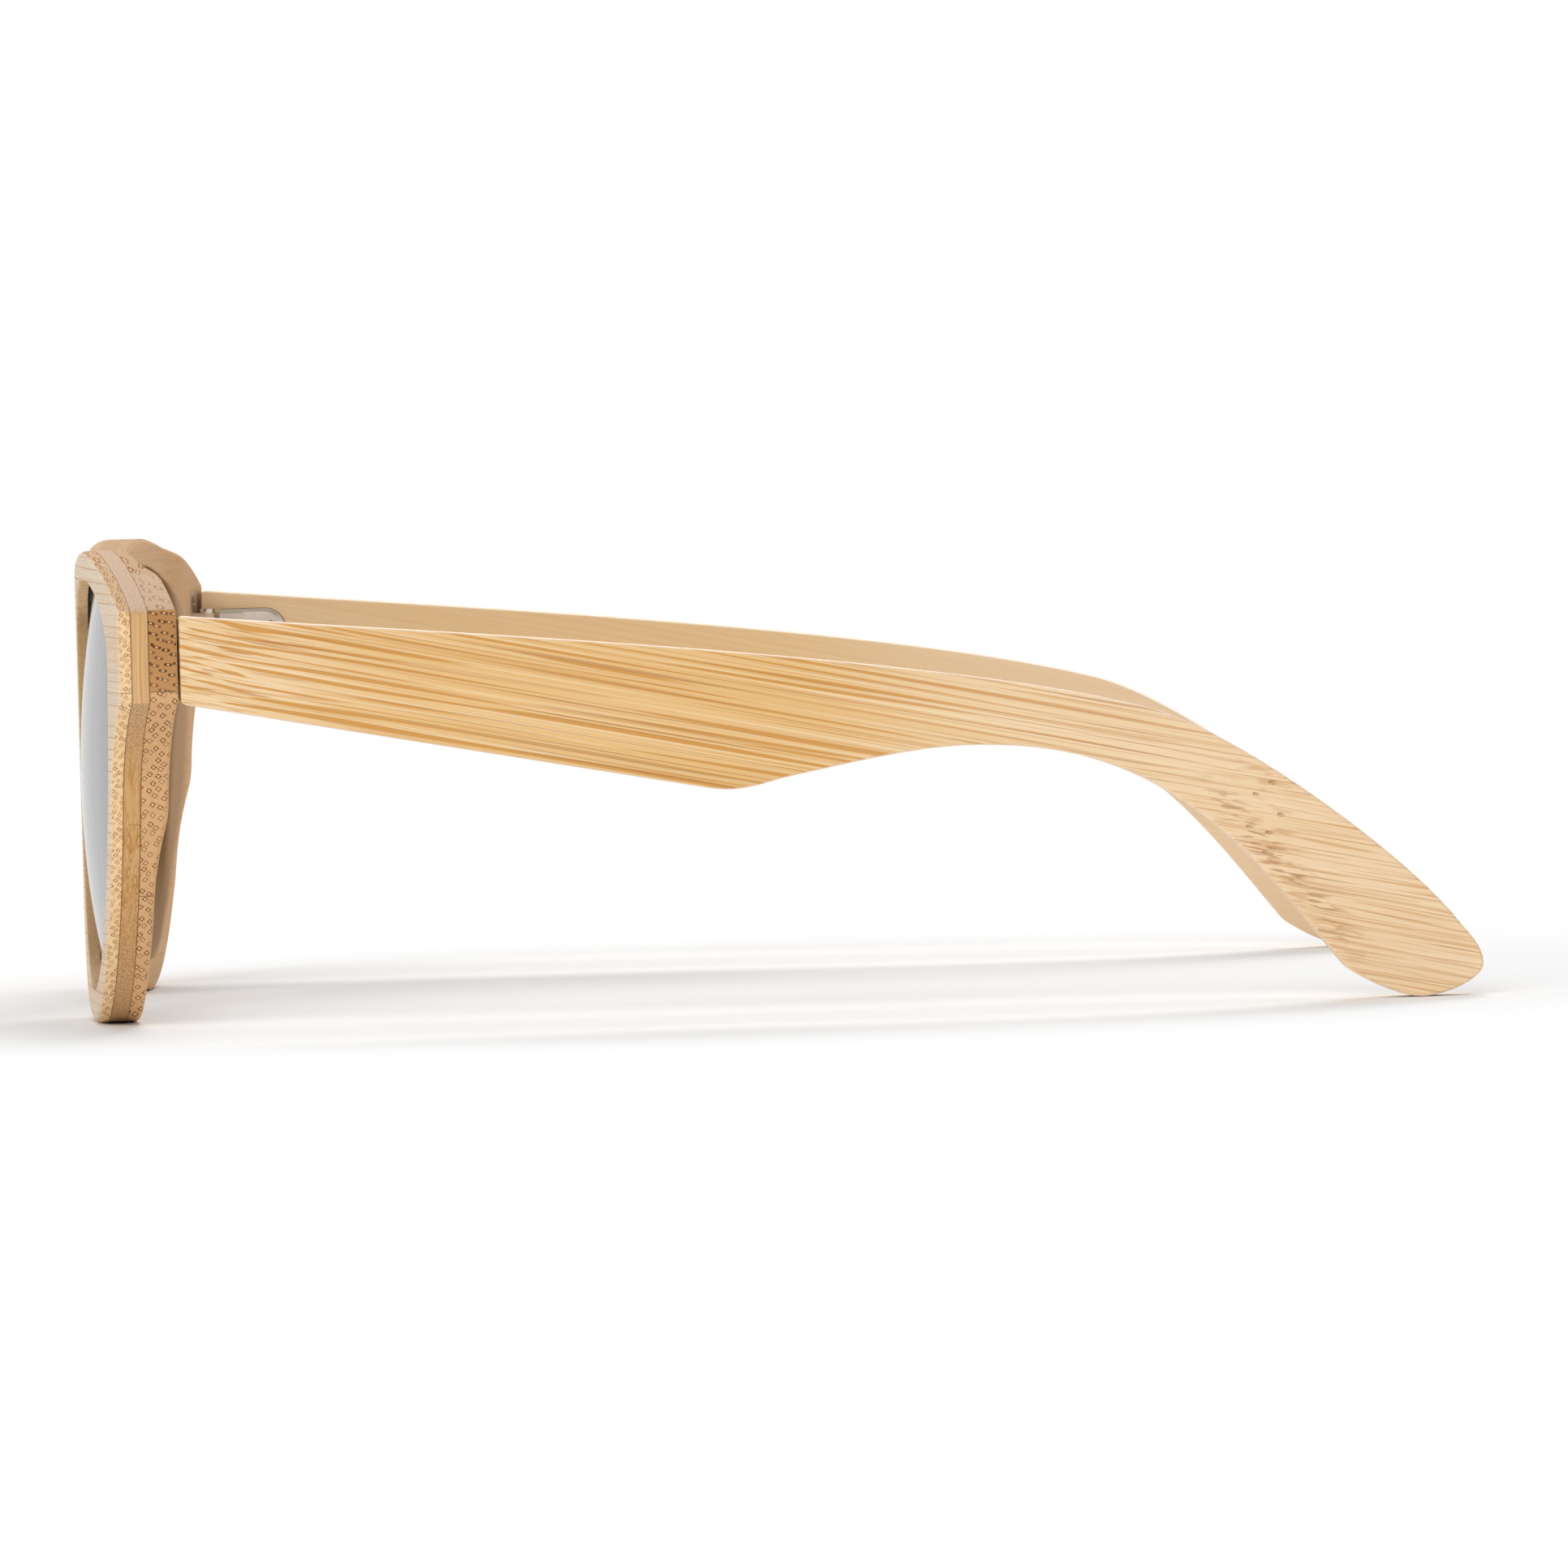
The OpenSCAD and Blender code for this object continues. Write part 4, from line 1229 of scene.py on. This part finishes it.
    def rows(self, ply: Ply, loop: Loop, outer: bool) -> list[tuple[Array, Array]]:
        """Rows of points round one wall of a ply, from its face to its back.

        Args:
            ply: the ply.
            loop: the wall's outline.
            outer: true for the outside of the front, false for a window.

        Returns:
            For each row its flat points and their Y.
        """
        rear, sign = ply is Ply.REAR, -1 if outer else 1
        face_r, back_r = (radii[0 if outer else 1] for radii in (self.face_r, self.back_r))
        face_r = face_r if ply is Ply.FRONT else self.glued_r
        back_r = np.full(len(loop.points), back_r if rear else self.glued_r)
        if rear and outer:
            back_r[np.abs(loop.points[:, 0]) > LAYOUT.half_w - 0.5] = self.sawn_r
        made = []
        face_turns = self.face_turns if ply is Ply.FRONT else self.glued_turns
        for inset, drop in [(face_r + self.face_margin, 0.0), *rounding(face_r, face_turns)]:
            flat = loop.moved(sign * inset)
            made.append((flat, LAYOUT.wrap(flat[:, 0], ply.depths[0] + drop)))
        back_turns = self.back_turns if rear else self.glued_turns
        turns = [(scale, 0.0, rise) for rise, scale in rounding(1.0, back_turns)]
        for scale, add, rise in [*turns, (1.0, self.back_margin, 0.0)]:
            inset = back_r * scale + add
            flat = loop.moved(sign * inset)
            y = self.back_y(ply, flat) - back_r * rise
            if rear and outer:
                # The nose bevel moves the points in, and so deeper or shallower
                flat = loop.moved(sign * (inset + self.flare(loop, y)))
                y = self.back_y(ply, flat) - back_r * rise
                flat = loop.moved(sign * (inset + self.flare(loop, y)))
            made.append((flat, y))
        return made

    def build(self, ply: Ply) -> Piece:
        """Builds one ply.

        Args:
            ply: which one.

        Returns:
            The ply's object.
        """
        shell = Shell()
        window = self.opening()
        if ply is Ply.CORE:
            window = Loop(window.moved(self.groove))
        walls = []
        for loop, outer in ((self.outline(), True), (window, False), (window.mirrored(), False)):
            rows = self.rows(ply, loop, outer)
            walls.append((rows, shell.tube([upright(flat, y) for flat, y in rows])))
        rings, flats = [r[0] for _, r in walls], [w[0][0] for w, _ in walls]
        mesh = self.face_mesh if ply is Ply.FRONT else self.glued_mesh
        shell.web(rings, flats, lambda f: upright(f, LAYOUT.wrap(f[:, 0], ply.depths[0])), mesh)
        rings, flats = [r[-1] for _, r in walls], [w[-1][0] for w, _ in walls]
        if ply is Ply.REAR:
            for side in Side:
                top = self.on_end_face(self.stadium(), 0.0, side)
                floor = self.on_end_face(self.stadium(), self.plate_sink, side)
                pair = shell.tube([top, floor])
                shell.cap(pair[1])
                rings.append(pair[0])
                flats.append(top[:, [0, 2]])
        mesh = self.back_mesh if ply is Ply.REAR else self.glued_mesh
        shell.web(rings, flats, lambda f: upright(f, self.back_y(ply, f)), mesh)
        return shell.piece("laminated_" + ply.value)

    def dress(self) -> list[Piece]:
        """Builds the plies and gives each its finish.

        Returns:
            The plies.
        """
        finishes = {
            Ply.FRONT: FaceBamboo(
                "bamboo front",
                face=tint(242, 222, 196),
                edge=tint(250, 214, 164),
                vessel=tint(152, 94, 50),
                heart=tint(240, 206, 158),
                bundles=Bundles(0.64, 0.16, 0.07, 0.16, 0.06),
                joints=(36.66,),
                strength=0.9,
            ),
            Ply.CORE: CoreBamboo(),
            Ply.REAR: FaceBamboo(
                "bamboo rear",
                face=tint(228, 185, 138),
                edge=tint(222, 178, 130),
                vessel=tint(126, 76, 40),
                heart=tint(232, 196, 154),
                bundles=Bundles(0.92, 0.23, 0.1, 0.21, 0.085),
                joints=(36.66, 14.4),
                burnt=True,
            ),
        }
        made = []
        for ply in Ply:
            piece = self.build(ply)
            piece.data.materials.append(finishes[ply].material())
            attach(piece, "front")
            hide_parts(ply.value)
            made.append(piece)
        return made


@dataclass
class Lenses:
    """Domed lenses with an edge ground to sit in the core ply's groove."""

    front: Front
    middle: tuple[float, float] = (36.6, 25.85)
    radius: float = 112.0
    thick: float = 1.4
    bulge: float = 0.5
    lip: float = 1.0
    lip_depths: tuple[float, float] = (1.45, 3.1)
    play: float = 0.06
    margin: float = 0.4
    shoulder_w: float = 0.02
    mesh: float = 1.6

    def dome(self, flat: Array, radius: float) -> Array:
        """Y of a sphere round the lens's centre at flat points.

        Args:
            flat: points in X and Z, on the left side.
            radius: the sphere's radius.

        Returns:
            One Y for each point.
        """
        x, z = self.middle
        turn = math.asin(x / LAYOUT.wrap_r)
        reach = self.radius - self.bulge
        cx = x - reach * math.sin(turn)
        cy = LAYOUT.wrap(x, 0.0) + reach * math.cos(turn)
        return cy - np.sqrt(radius**2 - (flat[:, 0] - cx) ** 2 - (flat[:, 1] - z) ** 2)

    def build(self, side: Side) -> Piece:
        """Builds one lens.

        Args:
            side: which one.

        Returns:
            The lens's object.
        """
        loop = self.front.opening()
        body, rim = loop.moved(-self.play), loop.moved(self.lip)
        margin = loop.moved(-self.play - self.margin)
        shoulder = body + self.shoulder_w * loop.out
        inner, outer = self.radius - self.thick, self.radius
        shallow, deep = self.lip_depths
        rows = [
            (margin, self.dome(margin, outer)),
            (body, self.dome(body, outer)),
            (shoulder, np.maximum(self.dome(body, outer), LAYOUT.wrap(body[:, 0], shallow))),
            (rim, LAYOUT.wrap(rim[:, 0], shallow)),
            (rim, LAYOUT.wrap(rim[:, 0], deep)),
            (shoulder, np.minimum(self.dome(body, inner), LAYOUT.wrap(body[:, 0], deep))),
            (body, self.dome(body, inner)),
            (margin, self.dome(margin, inner)),
        ]
        shell = Shell()
        rings = shell.tube([upright(flat, y, side) for flat, y in rows])
        shell.web([rings[0]], [margin], lambda f: upright(f, self.dome(f, outer), side), self.mesh)
        shell.web([rings[-1]], [margin], lambda f: upright(f, self.dome(f, inner), side), self.mesh)
        return shell.piece("domed_lens_" + side.word)

    def dress(self) -> list[Piece]:
        """Builds both lenses and tints them.

        Returns:
            The lenses.
        """
        finish = LensTint().material()
        made = []
        for side in Side:
            piece = self.build(side)
            piece.data.materials.append(finish)
            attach(piece, "front")
            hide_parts("lens_" + side.word)
            made.append(piece)
        return made


@dataclass
class Temples:
    """Bent-down boards with rounded edges and a recess for the spring case."""

    edge_r: float = 0.3
    margin: float = 0.06
    step: float = 0.8
    corner_step: float = 0.1
    mesh: float = 6.0
    edge_turns: int = 7
    arc_points: int = 25
    case_y: float = 1.55
    case_end: float = 6.6
    case_r: float = 2.45
    case_sink: float = 0.75

    def outline(self) -> Loop:
        """A temple seen from its side: lengths from the butt, heights from the ground.

        Returns:
            The outline.
        """
        high = [(0, 44.05), (0, 44.36), (0.26, 44.62), (0.58, 44.62)]
        board = [(0.58, 44.62), (25, 42.3), (80.1, 38.4), (103.5, 31.9)]
        board += [(113, 29.26), (131.8, 14.6), (136.7, 7.6)]
        board += [(138.25, 5.95), (139, 4.6), (139, 3.4)]
        board += [(139, 1.6), (134.6, 0), (132.3, 0)]
        board += [(129.6, 0), (124.9, 2.7), (124.1, 3.6)]
        board += [(114.4, 15.85), (106, 28.4), (84.5, 28.4)]
        board += [(78, 28.4), (71.5, 26.9), (64.5, 25.6)]
        board += [(61.5, 24.9), (59.5, 24.0375), (56, 24.7)]
        board += [(37.7, 28.164), (19.4, 31.628), (0.8, 35.149)]
        low = [(0.8, 35.149), (0.36, 35.232), (0, 35.61), (0, 36.05)]
        corners = [chain(corner, self.corner_step) for corner in (high, low)]
        return Loop(np.vstack([corners[0], chain(board, self.step), corners[1]]))

    def placed(self, flat: Array, across: float, side: Side) -> Array:
        """Points of the board's side, at a distance from the pivot, in source coordinates."""
        return LAYOUT.on_board(flat[:, 0] + LAYOUT.butt_y, across, flat[:, 1], side)

    def recess(self) -> Array:
        """Outline of the spring case's recess, seen from the side.

        Returns:
            The outline's points, as lengths from the butt and heights.
        """
        arc = np.radians(np.linspace(-90, 90, self.arc_points))
        end = np.column_stack((np.cos(arc), np.sin(arc))) * self.case_r + (self.case_end, 0)
        start = np.array([(self.case_y, self.case_r), (self.case_y, -self.case_r)])
        return np.vstack([start, end]) + (-LAYOUT.butt_y, LAYOUT.hinge_z)

    def build(self, side: Side) -> Piece:
        """Builds one temple.

        Args:
            side: which one.

        Returns:
            The temple's object.
        """
        loop = self.outline()
        shell = Shell()
        r, near, far = self.edge_r, LAYOUT.inner, LAYOUT.inner + LAYOUT.thick
        turns = rounding(r, self.edge_turns)
        rows = [(r + self.margin, near)]
        rows += [(inset, near + drop) for inset, drop in turns]
        rows += [(inset, far - drop) for inset, drop in turns[::-1]]
        rows += [(r + self.margin, far)]
        flats = [loop.moved(-inset) for inset, _ in rows]
        rings = shell.tube([self.placed(f, x, side) for f, (_, x) in zip(flats, rows)])
        recess = self.recess()
        mouth, floor = shell.tube([self.placed(recess, x, side) for x in (near, near + self.case_sink)])
        shell.cap(floor)
        shell.web([rings[0], mouth], [flats[0], recess], lambda f: self.placed(f, near, side), self.mesh)
        shell.web([rings[-1]], [flats[-1]], lambda f: self.placed(f, far, side), self.mesh)
        return shell.piece("board_temple_" + side.word)

    def dress(self) -> list[Piece]:
        """Builds both temples and gives them their grain.

        Returns:
            The temples.
        """
        finish = TempleBamboo().material()
        made = []
        for side in Side:
            piece = self.build(side)
            piece.data.materials.append(finish)
            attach(piece, side.word + "_temple")
            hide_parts("temple_" + side.word)
            made.append(piece)
        return made


@dataclass
class Hinges:
    """Sprung hinges: the frame's own metal pieces, and a wound spring in each."""

    rod_x: float = 0.65
    coil_r: float = 0.79
    wire_r: float = 0.11
    start: float = 2.235
    end: float = 5.515
    turns: int = 5
    turn_steps: int = 24
    wire_sides: int = 10
    # How much closer the end turns lie, as a share of the length
    closing: float = 0.05
    travel: float = 1.0

    def spring(self, side: Side) -> Piece:
        """Winds one spring.

        Args:
            side: which hinge it is for.

        Returns:
            The spring's object.
        """
        shell = Shell()
        steps = self.turn_steps * self.turns
        b = np.linspace(0, 2 * math.pi, self.wire_sides, endpoint=False)
        rows = []
        for k in range(steps + 1):
            t = k / steps
            a = 2 * math.pi * self.turns * t
            share = t - self.closing * math.sin(2 * math.pi * t)
            along = self.start + (self.end - self.start) * share
            radial = self.coil_r + self.wire_r * np.cos(b)
            x = self.rod_x + radial * math.cos(a)
            y = along + self.wire_r * np.sin(b)
            z = LAYOUT.hinge_z + radial * math.sin(a)
            rows.append(LAYOUT.on_board(y, x, z, side))
        rings = shell.tube(rows)
        shell.cap(rings[0])
        shell.cap(rings[-1])
        return shell.piece("wound_spring_" + side.word)

    def dress(self) -> list[Piece]:
        """Plates the metal pieces and adds the springs.

        Returns:
            The springs.
        """
        # Olive for the hinge's narrow sides: the wood's reflection and the recess's shade, painted in
        olive = tint(134, 122, 88)
        steels = (
            Steel("hinge steel", tint(206, 194, 182), tint(172, 160, 146), olive),
            Steel("hinge leaf", tint(192, 156, 118), tint(170, 134, 98), olive, rough=0.5, metal=0.4),
            Steel("screw steel", tint(206, 196, 182), tint(166, 154, 138), olive, rough=0.3),
            Steel("spring wire", tint(190, 192, 196), tint(150, 152, 156), tint(140, 142, 146), rough=0.28),
        )
        plated, leaf, screws, wire = (steel.material() for steel in steels)
        finishes = {
            "hinge_plate": leaf,
            "hinge_slider": plated,
            "spring_case": plated,
            "spring_collar": plated,
            "plate_screws": screws,
            "pivot_screw": screws,
            "case_screw": screws,
        }
        made = []
        for side in Side:
            for stem, finish in finishes.items():
                node = frame["nodes"][f"{stem}_{side.word}"]
                if not node.material_slots:
                    node.data.materials.append(finish)
                for holder in node.material_slots:
                    holder.material = finish
            piece = self.spring(side)
            piece.data.materials.append(wire)
            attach(piece, side.word + "_slider")
            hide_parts("hinge_spring_" + side.word)
            fixed = np.array([self.end + self.wire_r])
            foot = LAYOUT.on_board(fixed, self.rod_x, np.array([LAYOUT.hinge_z]), side)[0]
            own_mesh(piece)
            made.append(piece)
        return made


@dataclass
class Studio:
    """White floor, soft light and the camera."""

    eye: tuple[float, float, float] = (1579.3, -30.2, 77.0)
    pitch: float = 1.972
    yaw: float = 1.183
    roll: float = -1.578
    focal: float = 325.9
    sensor: float = 36.0
    sight: float = 50.0
    ambient: float = 0.33
    aim: tuple[float, float, float] = (0.0, 0.0, 0.02)
    reach: float = 6.0
    sink: float = 0.00003
    # Distances from the object's middle where the floor starts to turn plain white and is so,
    # and how much more a distance along X counts
    clear: tuple[float, float] = (92.0, 150.0)
    clear_x: float = 1.15

    def floor(self) -> None:
        """A pale floor that keeps the shadow."""
        mesh = bpy.data.meshes.new("floor")
        far, low = self.reach, -self.sink
        corners = [(-far, -far, low), (far, -far, low), (far, far, low), (-far, far, low)]
        mesh.from_pydata(corners, [], [(0, 1, 2, 3)])
        made = linked("floor", mesh)
        material, paint = fresh("pale floor")
        x, y, z = paint.place()
        dust = paint.noise((x, y, z), 0.3)
        colour = paint.mix(dust, (0.93, 0.93, 0.93), (0.945, 0.945, 0.945))
        lit = paint.node("ShaderNodeBsdfDiffuse", None, {"Color": colour})
        glow = paint.node("ShaderNodeEmission", None, {"Color": WHITE, "Strength": 1.0})
        # Away from the object the floor is plain white to the eye
        away = ((x * self.clear_x) ** 2.0 + (y - CENTRE_Y) ** 2.0) ** 0.5
        inputs = {0: paint.seen() * away.step(*self.clear), 1: lit, 2: glow}
        both = paint.node("ShaderNodeMixShader", None, inputs)
        paint.node("ShaderNodeOutputMaterial", None, {"Surface": both})
        mesh.materials.append(material)

    def sky(self) -> None:
        """White all round, dimmer as light than as background."""
        world = bpy.data.worlds.new("studio")
        bpy.context.scene.world = world
        paint = Paint(world)
        dim, white = (
            paint.node("ShaderNodeBackground", None, {"Color": WHITE, "Strength": level})
            for level in (self.ambient, 1.0)
        )
        both = paint.node("ShaderNodeMixShader", None, {0: paint.seen(), 1: dim, 2: white})
        paint.node("ShaderNodeOutputWorld", None, {"Surface": both})

    def lamp(
        self, name: str, place: tuple[float, float, float], size: tuple[float, float], level: float
    ) -> None:
        """Adds a soft lamp.

        Args:
            name: its name.
            place: where it hangs, in metres; it points at the object's middle.
            size: its length along X and its breadth.
            level: how bright it makes a white surface that faces it, where 1 is white.
        """
        data = bpy.data.lights.new(name, "AREA")
        data.shape, data.size, data.size_y = "RECTANGLE", *size
        aim = Vector(self.aim) - Vector(place)
        data.energy = level * math.pi**2 * aim.length**2
        made = linked(name, data)
        made.location = place
        made.rotation_euler = aim.to_track_quat("-Z", "Y").to_euler()

    def camera(self) -> None:
        """Places the camera where the photograph was taken from."""
        e, a, turn = (math.radians(v) for v in (self.pitch, self.yaw, self.roll))
        back = Vector((math.cos(a) * math.cos(e), -math.sin(a) * math.cos(e), math.sin(e)))
        right = Vector((math.sin(a), math.cos(a), 0.0))
        up = back.cross(right)
        r = math.cos(turn) * right + math.sin(turn) * up
        u = -math.sin(turn) * right + math.cos(turn) * up
        data = bpy.data.cameras.new("camera")
        data.sensor_width, data.lens, data.clip_end = self.sensor, self.focal, self.sight
        made = linked("camera", data)
        spot = Matrix((r, u, back)).transposed().to_4x4()
        spot.translation = Vector(self.eye) * MM
        made.matrix_world = spot
        bpy.context.scene.camera = made

    def dress(self) -> None:
        """Sets the whole studio up."""
        self.camera()
        self.floor()
        self.sky()
        self.lamp("overhead", (0.0, 0.0, 1.1), (0.7, 0.7), 0.19)
        self.lamp("far side", (-0.95, 0.1, 0.85), (0.7, 0.6), 0.55)
        self.lamp("camera side", (1.1, -0.45, 0.7), (0.9, 0.9), 0.45)
        bpy.context.scene.view_settings.view_transform = "Standard"


def main() -> None:
    """Builds the pieces in order and reports them."""
    logging.basicConfig(level=logging.INFO, format="%(name)s: %(message)s")
    Studio().dress()
    front = Front()
    made = front.dress() + Lenses(front).dress() + Temples().dress() + Hinges().dress()
    for piece in made:
        LOG.info("%s: %d faces, rides on %s", piece.name, len(piece.data.polygons), piece["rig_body"])


if __name__ == "__main__":
    main()
